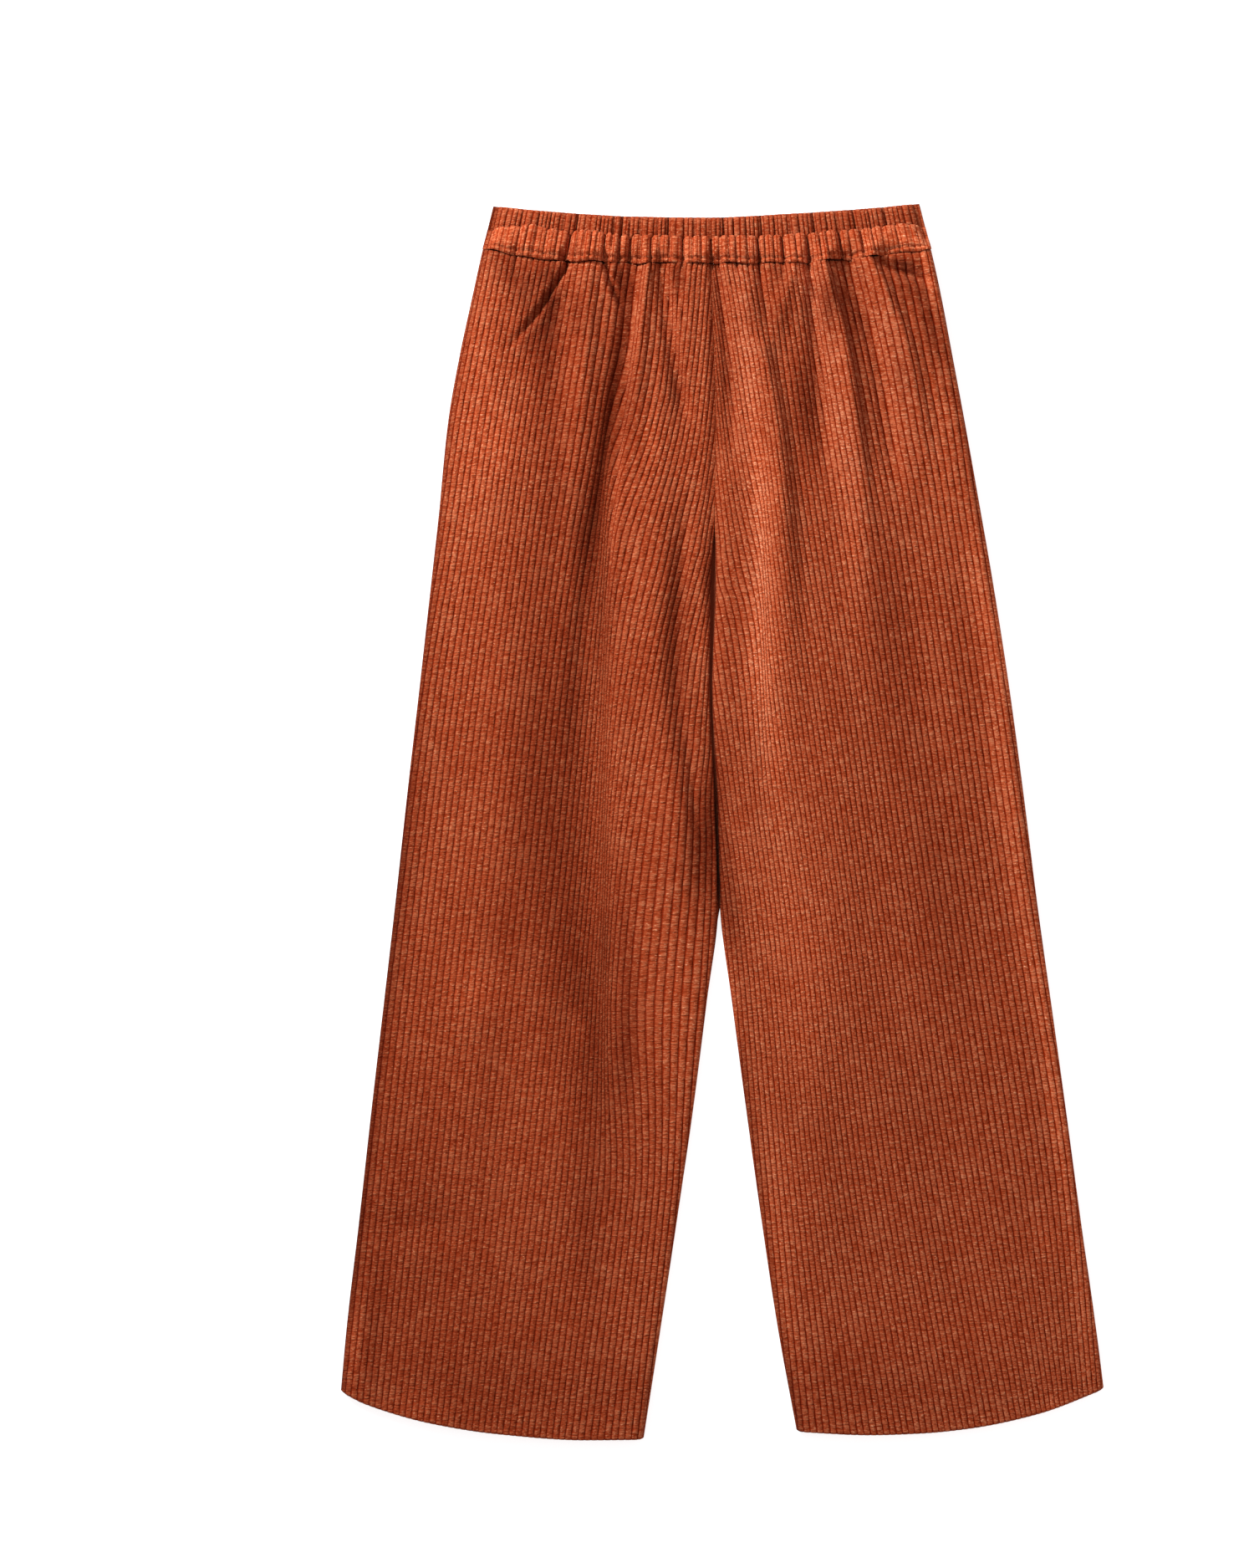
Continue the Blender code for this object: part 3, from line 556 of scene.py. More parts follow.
def band_roll(x, y):
    """How far the waistband has risen from its ends, from 0 to 1."""
    return roll(band_end_distance(x, y), BAND_ROLL)


def inland(x, y):
    """How far a point of the waistband is from its ends, from 0 to 1."""
    return smooth((band_end_distance(x, y) - TUCK_START) / (TUCK_FULL - TUCK_START))


def back_seam(x):
    edge = front_waist(x)
    return edge - END_TUCK - (BAND_TUCK - END_TUCK) * inland(x, edge)


def patched(patches, x, y):
    total = 0.0
    for patch in patches:
        off_y = y - patch.y
        off_x = x - patch.x - patch.lean * off_y
        total = total + patch.tone * bell(off_x / patch.across, off_y / patch.along)
    return total


def nap(x, y):
    """How much lighter or darker the pile looks than usual, from its nap and from painted light and shade."""
    # painted shade along the outline on the wearer's right, along the left leg's inseam and in the slit
    # between the legs
    rim = RIM_PAINTED_SHADE * bell((x - side_right(y)) / RIM_REACH)
    below = smooth((LEGS_PART - INSEAM_FADE - y) / INSEAM_FADE)
    inseam = INSEAM_PAINTED_SHADE * below * bell((x - seam_left(y)) / RIM_REACH)
    beside = smooth((FORK_TOP - y) / SLIT_FADE) * smooth((y - LEGS_PART) / SLIT_FADE)
    slit = SLIT_PAINTED_SHADE * beside * bell((x - seam_middle(y)) / SLIT_REACH)
    return rim + inseam + slit + patched(NAP_AND_SHADE_PATCHES, x, y) - SOFT_PAINTED_SHADE * patched(WEAR_AND_SHADE_PATCHES, x, y)


def crowding(x, y):
    """How many wales a point gains from the stripes where the wales are crowded."""
    total = 0.0
    for crowd in CROWDS:
        shown = smooth((crowd.y_top - y) / CROWD_FADE) * smooth((y - crowd.y_bottom) / CROWD_FADE)
        stripe = np.arctan((x - crowd.x) / crowd.width) / np.pi + 0.5
        start = crowd.x + min(crowd.spread, 0.0)
        total = total + crowd.wales * shown * (stripe - np.clip((x - start) / abs(crowd.spread), 0.0, 1.0))
    return total


def scatter(number):
    """A fixed but disorderly angle for each number."""
    return (np.sin(number * SCATTER[0]) * SCATTER[1]) % (2 * np.pi)


def rib(wale):
    """Height of the pile over the cloth at a wale number."""
    return np.interp(wale % 1.0, *zip(*RIB))


# ---- Meshes ----
def add_item(name, data, place=(0, 0, 0)):
    item = bpy.data.objects.new(name, data)
    item.location = place
    bpy.context.scene.collection.objects.link(item)
    return item


def slopes(height, x, y, step=SLOPE_STEP):
    """A height function's slopes across and along, at points."""
    return (
        (height(x + step, y) - height(x - step, y)) / (2 * step),
        (height(x, y + step) - height(x, y - step)) / (2 * step),
    )


Panel = namedtuple("Panel", "left right top bottom height course guides sign fine_shares")
# Arrays by row and column. End is -1 or 1 where a column has run into the left or right edge.
Grid = namedtuple("Grid", "x y wale end")


def row_falls(panel):
    """Places of a panel's rows, as shares of its length."""
    middle = (panel.left(0.0) + panel.right(0.0)) / 2
    length = panel.top(middle) - panel.bottom(middle)
    falls, at = [], 0.0
    while at < length:
        falls.append(at / length)
        at += np.interp(at, *zip(*ROW_STEPS))
    return np.array(falls + [1.0])


def trace_rows(panel, falls):
    """Fine samples along a panel's rows, from the left edge to the right: x and wale number of each."""

    def level(x):
        return mix(panel.top(x), panel.bottom(x), falls[:, None])

    low = high = np.full((len(falls), 1), (panel.left(0.0) + panel.right(0.0)) / 2)
    for _ in range(MEETING_ROUNDS):
        low, high = panel.left(level(low)), panel.right(level(high))
    x = mix(low, high, np.linspace(0, 1, ROW_SAMPLES)[None, :])
    steps = np.hypot(np.diff(x), np.diff(panel.course(x, level(x))))
    length = np.concatenate((np.zeros((len(falls), 1)), np.cumsum(steps, axis=1)), axis=1)
    courses = []
    for guide in panel.guides:
        line = curve(GUIDE_LEVELS, guide[1:])
        at = (low + high) / 2
        for _ in range(MEETING_ROUNDS):
            at = line(level(at))
        courses.append(at[:, 0])
    wale = np.empty_like(x)
    for i in range(len(falls)):
        places = []
        for course in courses:
            inside = np.interp(course[i], x[i], length[i])
            places.append(inside + min(course[i] - low[i, 0], 0.0) + max(course[i] - high[i, 0], 0.0))
        wale[i] = curve(places, [guide.wale for guide in panel.guides])(length[i])
    return x, np.maximum.accumulate(wale + crowding(x, level(x)), axis=1), level


def column_numbers(first, last, shares):
    """Wale numbers of columns at the same shares of each wale."""
    return np.add.outer(np.arange(first, last), shares).ravel()


def by_end(end, low, between, high):
    """Picks the left edge's value, the right edge's, or the one between for columns on the panel."""
    return np.where(end < 0, low, np.where(end > 0, high, between))


def lay_columns(panel, falls, numbers):
    """A panel's grid with a column at each wale number. Columns off the panel fall on its edge."""
    x, wale, level = trace_rows(panel, falls)
    down_row = level(x[:, :1])
    short, long = WANDER_LENGTHS
    wander = np.sin(down_row / short + scatter(numbers)) + np.sin(down_row / long + scatter(numbers + 0.5))
    at = np.stack([np.interp(n, w, a) for n, w, a in zip(numbers + RIB_WANDER * wander, wale, x)])
    low, high = x[:, :1], x[:, -1:]
    end = np.where(at < low + EDGE_MERGE, -1, np.where(at > high - EDGE_MERGE, 1, 0))
    at = np.concatenate((low, by_end(end, low, at, high), high), axis=1)
    edge = np.ones((len(falls), 1), int)
    end = np.concatenate((-edge, end, edge), axis=1)
    low, high = wale[:, :1], wale[:, -1:]
    number = np.concatenate((low, np.clip(numbers[None, :], low, high), high), axis=1)
    return Grid(at, level(at), by_end(end, low, number, high), end)


def pressed(panel, x, y, layers):
    """How far a stack of layers has to be pressed together to fit its half of the leg, from 0 to 1."""
    room = np.abs(panel.height(x, y) - parting(x, y)) - SEAM_GAP / 2
    return np.clip(room / layers, LEAST_PRESS, 1.0)


class Shell:
    """Gathers points, faces and grain coordinates, and makes one closed mesh of them."""

    def __init__(self, tone=0.0, softness=0.0):
        self.tone, self.softness = tone, softness
        self.points, self.grain, self.faces, self.slots = [], [], [], []
        self.count = 0

    def add_points(self, points, grain):
        """Adds a grid of points, and gives their numbers in the same shape."""
        numbers = np.arange(self.count, self.count + points[..., 0].size).reshape(points.shape[:-1])
        self.count += numbers.size
        self.points.append(points.reshape(-1, 3))
        self.grain.append(grain.reshape(-1, 2))
        return numbers

    def add_face(self, face, slot):
        self.faces.append(face)
        self.slots.append(slot)

    def add_quads(self, quads, slot):
        """Adds faces of four corners. A repeated corner makes a triangle, and two drop the face."""
        quads = np.asarray(quads).reshape(-1, 4)
        repeats = (np.diff(np.sort(quads, axis=1), axis=1) == 0).sum(axis=1)
        for quad in quads[repeats == 0].tolist():
            self.add_face(quad, slot)
        for quad in quads[repeats == 1].tolist():
            self.add_face(list(dict.fromkeys(quad)), slot)

    def add_sheet(self, numbers, slot):
        corners = numbers[:-1, :-1], numbers[:-1, 1:], numbers[1:, 1:], numbers[1:, :-1]
        self.add_quads(np.stack(corners, -1), slot)

    def zip_edges(self, a, a_at, b, b_at, slot):
        """Joins two rows of different density with triangles."""
        i = j = 0
        while i < len(a) - 1 or j < len(b) - 1:
            if j == len(b) - 1 or (i < len(a) - 1 and a_at[i + 1] <= b_at[j + 1]):
                self.add_face([a[i], a[i + 1], b[j]], slot)
                i += 1
            else:
                self.add_face([a[i], b[j + 1], b[j]], slot)
                j += 1

    def make(self, name, materials):
        points = np.concatenate(self.points)
        mesh = bpy.data.meshes.new(name)
        mesh.from_pydata((points * MM).tolist(), [], self.faces)
        for material in materials:
            mesh.materials.append(material)
        mesh.polygons.foreach_set("material_index", np.array(self.slots, np.int32))
        # the tone holds the casing's painted light or shade, plus the nap and the painted light and shade at
        # each point
        tone = self.tone + nap(points[:, 0], points[:, 1])
        softness = self.softness + patched(WEAR_AND_SHADE_PATCHES, points[:, 0], points[:, 1])
        maps = {"grain": np.concatenate(self.grain), "nap": np.stack([tone, softness], -1)}
        work = bmesh.new()
        work.from_mesh(mesh)
        bmesh.ops.delete(work, geom=[v for v in work.verts if not v.link_faces], context="VERTS")
        bmesh.ops.recalc_face_normals(work, faces=work.faces)
        for name_of_map in maps:
            work.loops.layers.uv.new(name_of_map)
        work.to_mesh(mesh)
        work.free()
        used = np.unique(np.concatenate([np.asarray(face) for face in self.faces]))
        corners = np.zeros(len(mesh.loops), np.int32)
        mesh.loops.foreach_get("vertex_index", corners)
        for name_of_map, values in maps.items():
            flat = values[used][corners].astype(np.float32).ravel()
            mesh.uv_layers[name_of_map].uv.foreach_set("vector", flat)
        mesh.shade_smooth()
        mesh.set_sharp_from_angle(angle=math.radians(SHARP_ANGLE))
        return add_item(name, mesh)


def outer_face(panel, grid):
    """Points of the face that shows, with the wales standing out along its normal."""
    x, y = grid.x, grid.y
    slope_x, slope_y = slopes(panel.height, x, y)
    side, inner = seam_distances(x, y)
    near = np.clip(np.minimum(side, np.abs(inner)) / EDGE_FLATTEN, EDGE_RELIEF, 1.0)
    at_hem = np.clip((y - panel.bottom(x)) / HEM_FLATTEN, HEM_RELIEF, 1.0)
    uneven = 1.0 + RIB_UNEVEN * np.sin(y / UNEVEN_LENGTH + scatter(np.floor(grid.wale)))
    spacing = np.gradient(x, axis=1) / np.maximum(np.gradient(grid.wale, axis=1), LEAST_STEP)
    crowded = np.clip(spacing / WALE, CROWDED_RELIEF, 1.0)
    worn = 1.0 - SOFT_RELIEF * patched(WEAR_AND_SHADE_PATCHES, x, y)
    relief = rib(grid.wale) * near * at_hem * uneven * crowded * worn
    relief = relief / np.sqrt(1.0 + slope_x**2 + slope_y**2)
    z = panel.height(x, y) + panel.sign * relief
    return np.stack([x - slope_x * relief, y - slope_y * relief, z], -1)


def inner_face(panel, grid):
    """Points one cloth inside the face that shows, low enough to stay inside it between columns."""
    x, y, sign = grid.x, grid.y, panel.sign
    around = [sign * panel.height(x + wales * WALE, y) for wales in BESIDE]
    z = np.min(around, axis=0) - CLOTH * pressed(panel, x, y, CLOTH)
    return np.stack([x, y, sign * np.maximum(z, sign * parting(x, y) + SEAM_GAP / 2)], -1)


def turned_hem(panel, grid, outside):
    """The cloth carried round the hem's edge and up inside the leg, as points, their grain and ends."""
    stack = 2 * CLOTH + SEAM_GAP
    last = Grid(*(part[-1:] for part in grid))
    step = HEM_SLOPE_STEP
    lean = (panel.bottom(last.x + step) - panel.bottom(last.x - step)) / (2 * step)
    scale = np.sqrt(1 + lean**2)
    press = pressed(panel, last.x, last.y, stack)
    radius = stack / 2 * press
    arm = radius + HEM_RELIEF * rib(last.wale) * press if outside else SEAM_GAP / 2 * press
    turn = np.radians(FOLD_ANGLES)[:, None]
    out = arm * np.sin(turn) / scale
    z = panel.height(last.x, last.y) - panel.sign * (radius - arm * np.cos(turn))
    points = np.stack([last.x + lean * out, last.y - out, z], -1)
    grain = np.stack(np.broadcast_arrays(last.wale, (last.y - radius * turn) / GRAIN_LENGTH), -1)
    above = grid.y[:, 1:-1].mean(axis=1) - last.y[:, 1:-1].mean()
    up = Grid(*(part[np.flatnonzero(above < HEM_DEPTH)[::-1]] for part in grid))
    depth = stack + rib(up.wale) if outside else CLOTH + SEAM_GAP
    z = panel.height(up.x, up.y) - panel.sign * depth * pressed(panel, up.x, up.y, stack)
    inside = np.stack([up.x, up.y, z], -1)
    inside_grain = np.stack([up.wale, (2 * last.y - up.y) / GRAIN_LENGTH], -1)
    end = np.concatenate([np.repeat(last.end, len(turn), axis=0), up.end])
    return np.concatenate([points, inside]), np.concatenate([grain, inside_grain]), end


def build_panel(name, panel, materials):
    """A leg panel: outer face with wales, inner face, a folded hem turned up inside, and closed edges."""
    falls = row_falls(panel)
    _, wale, _ = trace_rows(panel, falls[:: len(falls) // SPAN_ROWS])
    span = math.floor(wale[:, 0].min()) - 1, math.ceil(wale[:, -1].max()) + 1
    shell = Shell()
    faces = []
    for shares, outside in ((panel.fine_shares, True), (INNER_SHARES, False)):
        grid = lay_columns(panel, falls, column_numbers(*span, shares))
        points = outer_face(panel, grid) if outside else inner_face(panel, grid)
        grain = np.stack([grid.wale, grid.y / GRAIN_LENGTH], -1)
        hem_points, hem_grain, hem_end = turned_hem(panel, grid, outside)
        points, grain = np.concatenate([points, hem_points]), np.concatenate([grain, hem_grain])
        numbers, end = shell.add_points(points, grain), np.concatenate([grid.end, hem_end])
        # every column that has run into an edge gets the edge's own point
        numbers = by_end(end, numbers[:, :1], numbers, numbers[:, -1:])
        shell.add_sheet(numbers, 0 if outside else 1)
        faces.append((numbers, end, points))
    (outer, *_), (inner, *_) = faces
    for side in (0, -1):
        corners = outer[:-1, side], outer[1:, side], inner[1:, side], inner[:-1, side]
        shell.add_quads(np.stack(corners, -1), 1)
    for row in (0, -1):
        joined = []
        for numbers, end, points in faces:
            keep = end[row] == 0
            keep[[0, -1]] = True
            joined += [numbers[row][keep].tolist(), points[row, keep, 0].tolist()]
        shell.zip_edges(*joined, 1)
    return shell.make(name, materials)


def front_panel_top(x):
    return front_seam(x) - EDGE_GAP


def back_panel_top(x):
    return back_seam(x) - SEAM_GAP


def make_panels(outside, inside):
    hem_reach = (2 * CLOTH + SEAM_GAP) / 2
    legs = (
        ("right", (side_right, inner_right), (side_right, back_inner_right), hem_right, RIGHT_GUIDES),
        ("left", (inner_left, side_left), (back_inner_left, side_left), hem_left, LEFT_GUIDES),
    )
    made = {}
    for side, front_edges, back_edges, hem, guides in legs:

        def bottom(x, hem=hem):
            return hem(x) + hem_reach

        front = front_panel_top, bottom, front_top, front_course, guides, 1.0, FRONT_SHARES
        back = back_panel_top, bottom, back_low, back_low, guides, -1.0, BACK_SHARES
        for face, panel in (("front", Panel(*front_edges, *front)), ("back", Panel(*back_edges, *back))):
            made[face, side] = build_panel(f"{face}_panel_{side}", panel, (outside, inside))
    return made


Casing = namedtuple(
    "Casing", "name bottom top edge_height top_height gathers puffs rope wale_start tone relief softness"
)


def arches(splits, ends, x):
    """Arches from 0 to 1 between splits, and each one's span."""
    edges = np.array([ends[0], *splits, ends[1]])
    i = np.clip(np.searchsorted(edges, x) - 1, 0, len(edges) - 2)
    span = edges[i + 1] - edges[i]
    share = np.clip((x - edges[i]) / span, 0.0, 1.0)
    return np.sqrt(4.0 * share * (1.0 - share) + LEAST_ARCH), span


def puffed(casing, x):
    """A casing's swelling between its splits, the splits' depth, and the arches between all splits."""
    ends = casing.gathers[0].x - PUFF_SPAN, casing.gathers[-1].x + PUFF_SPAN
    puff, span = arches([g.x for g in casing.gathers if g.depth >= MAIN_SPLIT], ends, x)
    lobe, _ = arches([g.x for g in casing.gathers], ends, x)
    swell = PUFF_RISE * (1.0 - np.exp(-span / PUFF_SPAN)) * puff
    dip = sum(g.depth * bell((x - g.x) / g.width) for g in casing.gathers)
    return swell + LOBE_RISE * lobe - PUFF_RISE / 2, dip, lobe


def casing_ring():
    """A casing's cross-section as shares: along from its lower edge to its top, and up from -1 to 1."""
    over = (1.0 - np.cos(np.linspace(0, np.pi, CASING_TOP_STEPS))) / 2
    under = (1.0 - np.cos(np.linspace(np.pi, 0, CASING_UNDER_STEPS)[1:-1])) / 2
    along = np.concatenate([over, under])
    up = np.clip(4.0 * along * (1.0 - along), 0.0, 1.0) ** CASING_FULLNESS
    return along, up * np.where(np.arange(len(along)) < CASING_TOP_STEPS, 1.0, -1.0)


def casing_stations(casing, mid_y):
    """Numbers of the wales' points round a casing, and their places as shares of its length."""
    samples = np.linspace(0, 1, CASING_SAMPLES)
    x = mix(side_right(mid_y), side_left(mid_y), samples)
    swell, dip, _ = puffed(casing, x)
    length = np.concatenate(([0.0], np.cumsum(np.hypot(np.diff(x), np.diff(swell - dip)))))
    wale = np.maximum.accumulate(casing.wale_start + length / BAND_WALE + waves(BAND_WAVES, x))
    numbers = column_numbers(0, math.ceil(wale[-1]) + 1, FRONT_SHARES)
    numbers = numbers[(numbers > wale[0] + CASING_MERGE) & (numbers < wale[-1] - CASING_MERGE)]
    numbers = np.concatenate(([wale[0]], numbers, [wale[-1]]))
    return numbers, np.interp(numbers, wale, samples)


def build_casing(casing, material):
    """A gathered tube. Arrays have a row for each station along it and a column for each point round it."""
    mid_y = (casing.bottom(0.0) + casing.top(0.0)) / 2
    numbers, stations = (values[:, None] for values in casing_stations(casing, mid_y))
    along, up = (values[None, :] for values in casing_ring())
    from_middle = np.abs(2 * along - 1)
    x = mix(side_right(mid_y), side_left(mid_y), stations)
    y_low, y_high = casing.bottom(x), casing.top(x)
    end = band_roll(x, (y_low + y_high) / 2)
    swell, dip, lobe = puffed(casing, x)
    humps = [(puff, np.exp(-(((x - puff.x) / puff.width) ** 4))) for puff in casing.puffs]
    scallop = SCALLOP * (swell - TOP_NOTCH * dip * inland(x, y_high)) + LOBE_SCALLOP * lobe
    y_high = y_high + end * (scallop * casing.rope + sum(puff.top * hump for puff, hump in humps))
    y_low = y_low + casing.rope * end * (waves(EDGE_WAVES, x) + LOW_NOTCH * dip)
    y = mix(y_low, y_high, along)
    swell = swell + sum(puff.rise * hump for puff, hump in humps)

    middle = mix(casing.edge_height(x), casing.top_height(x), smooth(along * RISE_RUN))
    half = BAND_HALF * mix(BAND_END_HALF, 1.0, end)
    thinned = mix(ROPE_THIN, 1.0, smooth(along / ROPE_RUN)) if casing.rope else 1.0
    crown = np.clip(1.0 - from_middle**4, 0, 1)
    relief = swell * mix(SWELL_RIM, 1.0, crown) - dip * mix(SPLIT_RIM, 1.0, crown)
    groove = casing.rope * ROPE_DEPTH * bell((along - ROPE_AT) / ROPE_WIDTH)
    z = middle + up * thinned * half + (up > 0) * end * (relief - groove)
    z = np.where(up > 0, np.maximum(z, middle - half + CASING_LEAST), z)
    points = np.stack([mix(side_right(y), side_left(y), stations), y, z], -1)

    around = np.roll(points, -1, 1) - np.roll(points, 1, 1)
    normal = np.cross(around, np.gradient(points, axis=0))
    normal /= np.linalg.norm(normal, axis=-1, keepdims=True) + TINY
    if normal[len(stations) // 2, CASING_TOP_STEPS // 2, 2] < 0:
        normal = -normal
    rim = mix(1.0, CASING_RIM, smooth((from_middle - RIM_START) / RIM_RUN))
    pile = casing.relief * rib(numbers) * mix(END_PILE, 1.0, end) * rim
    points = points + normal * pile[..., None]
    points[..., 2] = np.maximum(points[..., 2], FLOOR_CLEAR)

    shell = Shell(casing.tone, casing.softness)
    beneath = np.where(up < 0, UNDER_GRAIN, 0.0)
    grain = np.stack(np.broadcast_arrays(numbers, y / GRAIN_LENGTH + beneath), -1)
    rings = shell.add_points(points, grain)
    shell.add_sheet(np.concatenate([rings, rings[:, :1]], axis=1), 0)
    for ring in (rings[0], rings[-1]):
        shell.add_face(ring.tolist(), 0)
    return shell.make(casing.name, (material,))


def front_casing_edge(x):
    """Height of the front casing's lower edge, which follows most of the gathered panel's rises."""
    below = front_seam(x) - 2 * SEAM_DIP_REACH
    share = EDGE_FOLLOW * roll(band_end_distance(x, below), ROLL)
    return mix(front_top(x, below), loft(below), share) - EDGE_SINK


def front_casing_top(x):
    return mix(FRONT_BAND_END, FRONT_BAND_HIGH + waves(TOP_WAVES, x), band_roll(x, front_waist(x)))


def back_casing_height(x):
    return mix(BACK_BAND_END, BAND_HALF + BACK_BAND_LIFT, band_roll(x, back_waist(x)))


def make_waistband(material):
    # the front casing's tone is painted light where it faces the lamp, and the back one's painted shade on
    # its inside, which lies below and behind
    front = Casing(
        "front_casing", front_seam, front_waist, front_casing_edge, front_casing_top,
        FRONT_GATHERS, FRONT_PUFFS, rope=1.0, wale_start=0.3, tone=0.2, relief=0.45, softness=0.15,
    )
    back = Casing(
        "back_casing", back_seam, back_waist, back_casing_height, back_casing_height,
        BACK_GATHERS, (), rope=0.0, wale_start=0.6, tone=-0.08, relief=1.1, softness=0.1,
    )
    return build_casing(front, material), build_casing(back, material)


# ---- Materials ----
RIB_COLOUR = (0.348, 0.058, 0.0192, 1.0)
RIB_LIGHT = (0.555, 0.2, 0.095, 1.0)
RIB_DARK = (0.2, 0.0205, 0.0036, 1.0)
GROOVE_AND_SHADE_COLOUR = (0.172, 0.0108, 0.0009, 1.0)
# painted glints on the tufts
PAINTED_GLINT_COLOUR = (0.74, 0.35, 0.2, 1.0)
INSIDE_COLOUR = (0.15, 0.026, 0.009, 1.0)
SHEEN_TINT = (1.0, 0.6, 0.4, 1.0)
TUFT_STEP = 7.31  # moves each wale's tufts to another stretch of the noise
RAGGED, GROOVE_START, GROOVE_END = 0.14, 0.05, 0.18  # how and where a groove gives way to pile, in wales
GREEN_POWER, BLUE_POWER = 1.3, 1.45  # how green and blue follow the tone of the nap and of the painted light and shade, so that darker places look redder
SOFT_GREEN, SOFT_BLUE = -0.22, -0.42  # how softness makes the colour warmer, as painted shade
# Noises that follow the wales, and others that run over them
Grain = namedtuple("Grain", "across along roughness")
TUFTS, FINE, WEFT = table(Grain, (0.5, 4.4, 0.65), (2.3, 8, 0.6), (0.8, 6.4, 0.6))
Blotch = namedtuple("Blotch", "scale detail roughness")
PATCHES, LAY = table(Blotch, (55, 3, 0.6), (14, 2, 0.5))
TUFT_HEIGHT, FINE_HEIGHT, WEFT_HEIGHT = 0.9, 0.5, 0.3  # parts of the noises in the bumps
# Where a noise goes from start to full, a share of the colour is laid over the pile
Tint = namedtuple("Tint", "noise start full share colour")
TINTS = table(
    Tint,
    ("tufts", 0.5, 0.64, 0.42, RIB_LIGHT),
    ("tufts", 0.48, 0.36, 0.46, RIB_DARK),
    ("fine", 0.52, 0.67, 0.42, RIB_LIGHT),
    ("fine", 0.47, 0.35, 0.42, RIB_DARK),
    ("weft", 0.45, 0.37, 0.85, RIB_DARK),
    # painted glints on the tufts
    ("fine", 0.62, 0.72, 0.6, PAINTED_GLINT_COLOUR),
    ("patches", 0.5, 0.68, 0.1, RIB_LIGHT),
    ("patches", 0.48, 0.32, 0.1, RIB_DARK),
    ("lay", 0.52, 0.35, 0.14, RIB_DARK),
)


class Nodes:
    """Short calls for building a material's node tree."""

    def __init__(self, name):
        self.material = bpy.data.materials.new(name)
        self.material.use_nodes = True
        self.tree = self.material.node_tree
        self.shader = self.tree.nodes["Principled BSDF"]

    def add(self, kind, **settings):
        node = self.tree.nodes.new(kind)
        for key, value in settings.items():
            setattr(node, key, value)
        return node

    def plug(self, value, socket):
        if isinstance(value, bpy.types.NodeSocket):
            self.tree.links.new(value, socket)
        else:
            socket.default_value = value

    def feed(self, node, *values, **named):
        """Sets or links a node's first inputs in order, and others by name, with _ for a space."""
        for key, value in (*enumerate(values), *named.items()):
            self.plug(value, node.inputs[key.replace("_", " ") if key in named else key])
        return node

    def math(self, operation, *values):
        return self.feed(self.add("ShaderNodeMath", operation=operation), *values).outputs[0]

    def times(self, a, b):
        return self.math("MULTIPLY", a, b)

    def noise(self, vector, scale, detail, roughness):
        node = self.add("ShaderNodeTexNoise")
        return self.feed(node, Vector=vector, Scale=scale, Detail=detail, Roughness=roughness).outputs["Fac"]

    def remap(self, value, low, high):
        node = self.add("ShaderNodeMapRange", interpolation_type="SMOOTHSTEP")
        return self.feed(node, Value=value, From_Min=low, From_Max=high).outputs["Result"]

    def blend(self, share, a, b, kind="MIX"):
        node = self.add("ShaderNodeMix", data_type="RGBA", blend_type=kind)
        for index, value in ((0, share), (6, a), (7, b)):
            self.plug(value, node.inputs[index])
        return node.outputs[2]

    def combine(self, *parts):
        return self.feed(self.add("ShaderNodeCombineXYZ"), *parts).outputs[0]

    def read_map(self, name):
        """A UV map's two numbers."""
        parts = self.add("ShaderNodeSeparateXYZ")
        self.feed(parts, self.add("ShaderNodeUVMap", uv_map=name).outputs["UV"])
        return parts.outputs["X"], parts.outputs["Y"]

    def bump(self, strength, distance, height):
        node = self.feed(self.add("ShaderNodeBump"), Strength=strength, Distance=distance, Height=height)
        self.feed(self.shader, Normal=node.outputs["Normal"])


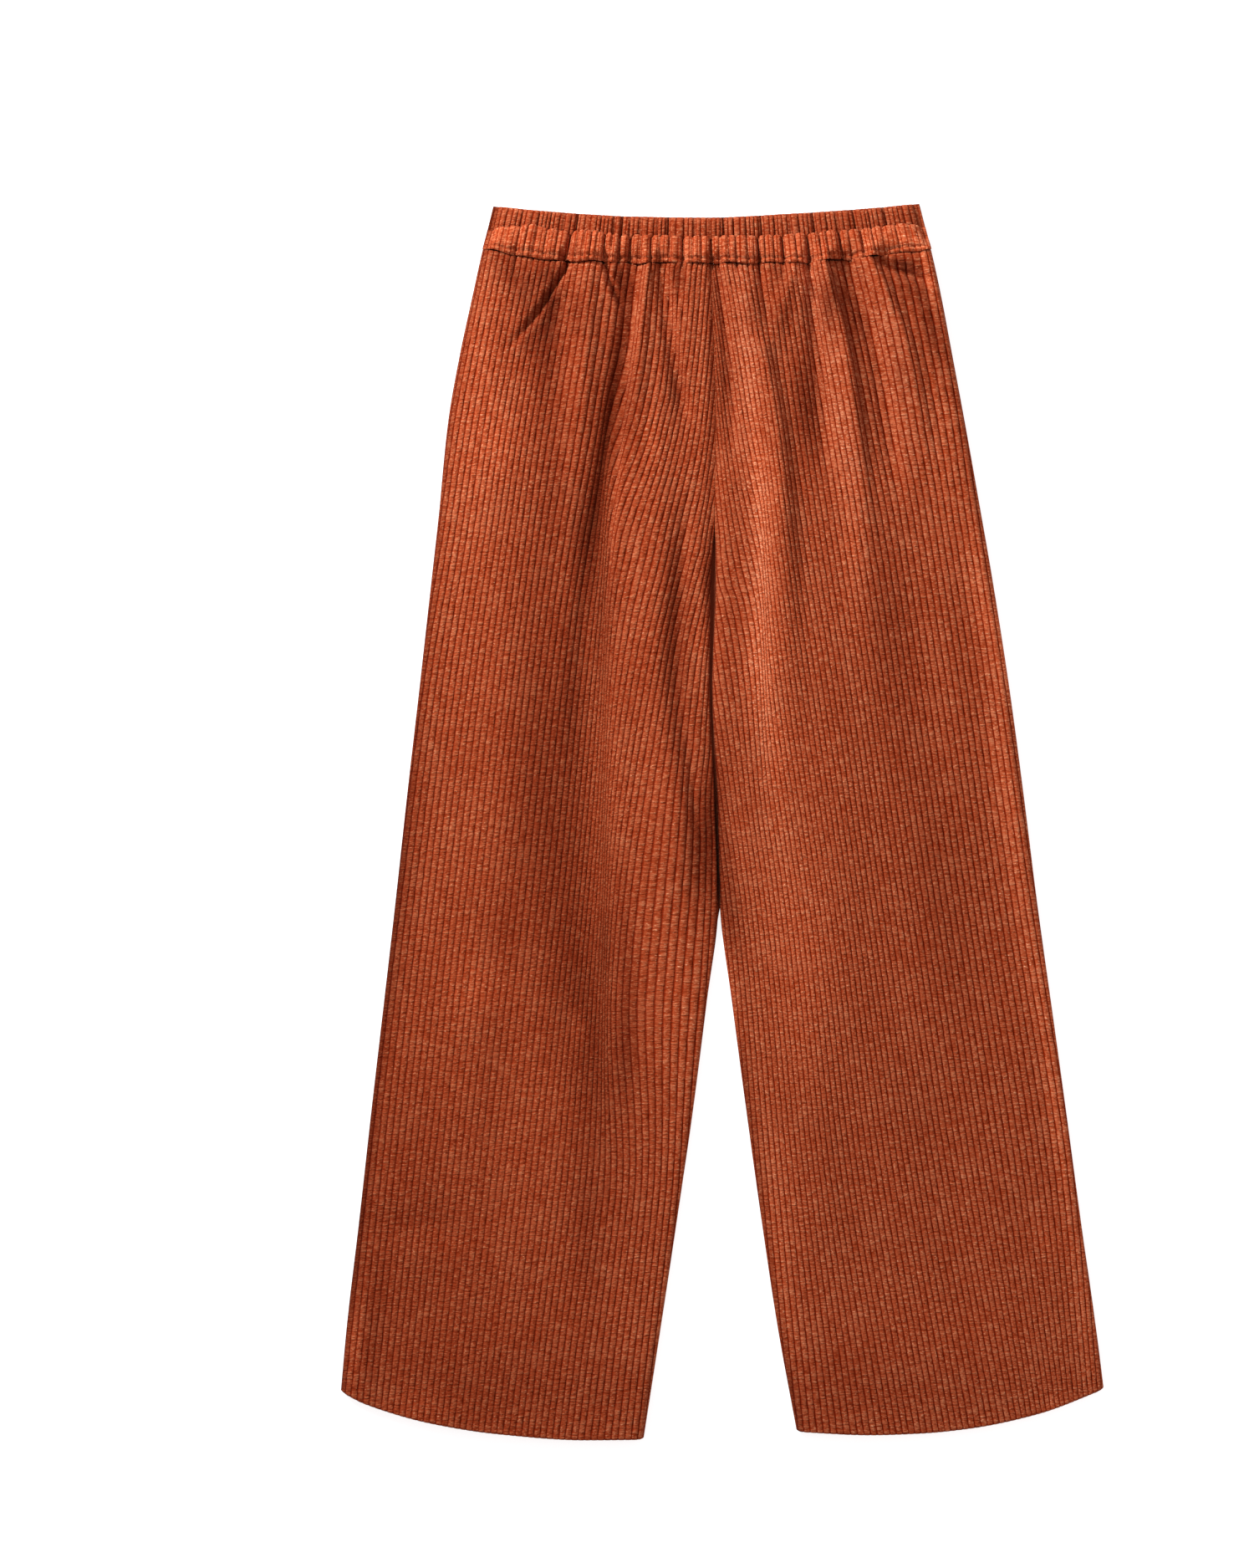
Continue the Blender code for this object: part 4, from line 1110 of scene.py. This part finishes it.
def corduroy():
    """Wide-wale corduroy: tufted pile in ribs, light on top, and dark in the grooves, with painted shade over
    the ground weave's colour.
    """
    n = Nodes("corduroy")
    wale, along = n.read_map("grain")
    tone, softness = n.read_map("nap")
    place = n.add("ShaderNodeTexCoord").outputs["Object"]

    def grained(grain, step=0.0):
        across = n.math("MULTIPLY_ADD", n.math("FLOOR", wale), step, n.times(wale, grain.across))
        return n.noise(n.combine(across, n.times(along, grain.along)), 1.0, 2.0, grain.roughness)

    tufts, fine, weft = grained(TUFTS, TUFT_STEP), grained(FINE), grained(WEFT)
    patches, lay = n.noise(place, *PATCHES), n.noise(place, *LAY)
    noises = {"tufts": tufts, "fine": fine, "weft": weft, "patches": patches, "lay": lay}

    colour = RIB_COLOUR
    for tint in TINTS:
        share = n.times(n.remap(noises[tint.noise], tint.start, tint.full), tint.share)
        colour = n.blend(share, colour, tint.colour)
    # the grooves between the wales get the ground weave's colour with painted shade
    from_groove = n.math("PINGPONG", n.math("FRACT", wale), 0.5)
    ragged = n.math("MULTIPLY_ADD", n.math("SUBTRACT", tufts, 0.5), RAGGED, from_groove)
    pile = n.math("MAXIMUM", n.remap(ragged, GROOVE_START, GROOVE_END), softness)
    colour = n.blend(pile, GROOVE_AND_SHADE_COLOUR, colour)
    # painted light and shade: the tone lightens or darkens the colour, and reddens the darker places
    bright = n.math("ADD", tone, 1.0)
    brights = bright, n.math("POWER", bright, GREEN_POWER), n.math("POWER", bright, BLUE_POWER)
    colour = n.blend(1.0, colour, n.combine(*brights), "MULTIPLY")
    # painted shade: softness makes the colour warmer
    warmer = (n.math("MULTIPLY_ADD", softness, less, 1.0) for less in (SOFT_GREEN, SOFT_BLUE))
    colour = n.blend(1.0, colour, n.combine(1.0, *warmer), "MULTIPLY")

    height = n.math("MULTIPLY_ADD", fine, FINE_HEIGHT, n.times(weft, WEFT_HEIGHT))
    height = n.math("MULTIPLY_ADD", tufts, TUFT_HEIGHT, height)
    n.bump(strength=0.9, distance=0.0014, height=height)
    n.feed(n.shader, Base_Color=colour, Roughness=0.95, Specular_IOR_Level=0.02)
    n.feed(n.shader, Sheen_Weight=0.06, Sheen_Roughness=0.5, Sheen_Tint=SHEEN_TINT)
    return n.material


def woven_back():
    """The plain woven back of the corduroy."""
    n = Nodes("corduroy_inside")
    place = n.add("ShaderNodeTexCoord").outputs["Object"]
    weave = n.add("ShaderNodeTexWave", bands_direction="X")
    n.feed(weave, Vector=place, Scale=400.0, Distortion=1.0, Detail=1.0)
    shade = n.blend(n.times(weave.outputs["Fac"], 0.4), INSIDE_COLOUR, RIB_DARK)
    n.bump(strength=0.4, distance=0.0003, height=weave.outputs["Fac"])
    n.feed(n.shader, Base_Color=shade, Roughness=0.9, Specular_IOR_Level=0.15)
    return n.material


# ---- Stage, in metres ----
PHOTO_HEIGHT = 1.244  # what the picture's height takes in, at the trousers
CAMERA_PLACE = (-0.0756, 0.0299, 2.6)
SENSOR = 36.0  # in millimetres
FAR = 20.0
FLOOR_SIZE = 8.0
FLOOR_COLOUR = (0.5, 0.5, 0.5, 1.0)
FLOOR_GLOW = 0.8  # the floor's own light, which washes out the shadows as on a cut-out picture
WHITE = (1.0, 1.0, 1.0, 1.0)
WORLD_LIGHT = 0.42
WORLD_COLOUR = (1.0, 0.94, 0.95, 1.0)
Lamp = namedtuple("Lamp", "name place aim size power colour")
LAMPS = table(
    Lamp,
    ("key", (-1.45, 1.5, 1.25), (0.0, 0.15, 0.0), 0.5, 88.0, (0.965, 1.02, 1.03)),
    ("fill", (1.6, 0.5, 1.8), (0.0, 0.0, 0.0), 1.4, 6.0, WHITE[:3]),
)


def make_stage():
    bpy.ops.mesh.primitive_plane_add(size=FLOOR_SIZE, location=(0, 0, 0))
    floor = bpy.context.object
    floor.name = "floor"
    n = Nodes("floor")
    n.feed(n.shader, Base_Color=FLOOR_COLOUR, Roughness=0.9)
    n.feed(n.shader, Emission_Color=WHITE, Emission_Strength=FLOOR_GLOW)
    floor.data.materials.append(n.material)

    scene = bpy.context.scene
    world = bpy.data.worlds.new("studio")
    world.use_nodes = True
    nodes = world.node_tree.nodes
    background = nodes.get("Background") or nodes.new("ShaderNodeBackground")
    background.inputs["Color"].default_value = WORLD_COLOUR
    background.inputs["Strength"].default_value = WORLD_LIGHT
    scene.world = world

    for lamp in LAMPS:
        light = bpy.data.lights.new(lamp.name, "AREA")
        light.size, light.energy, light.color = lamp.size, lamp.power, lamp.colour
        item = add_item(lamp.name, light, lamp.place)
        item.rotation_euler = (Vector(lamp.aim) - Vector(lamp.place)).to_track_quat("-Z", "Y").to_euler()

    camera = bpy.data.cameras.new("camera")
    camera.sensor_width = SENSOR
    camera.lens = SENSOR / 2 / (PHOTO_HEIGHT / 2 / (CAMERA_PLACE[2] - EDGE_HEIGHT * MM))
    camera.clip_end = FAR
    scene.camera = add_item("camera", camera, CAMERA_PLACE)
    scene.view_settings.view_transform = "Standard"


def main():
    outside, inside = corduroy(), woven_back()
    make_stage()
    panels = make_panels(outside, inside)
    front_band, back_band = make_waistband(outside)
    for side in ("right", "left"):
        for face in ("front", "back"):
            piece = panels[face, side]
            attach(piece, "root")
            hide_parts(f"{face}_{side}", f"hem_{face}_{side}")
    for piece, node in ((front_band, "waistband_front"), (back_band, "waistband_back")):
        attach(piece, "root")
        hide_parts(node)


main()
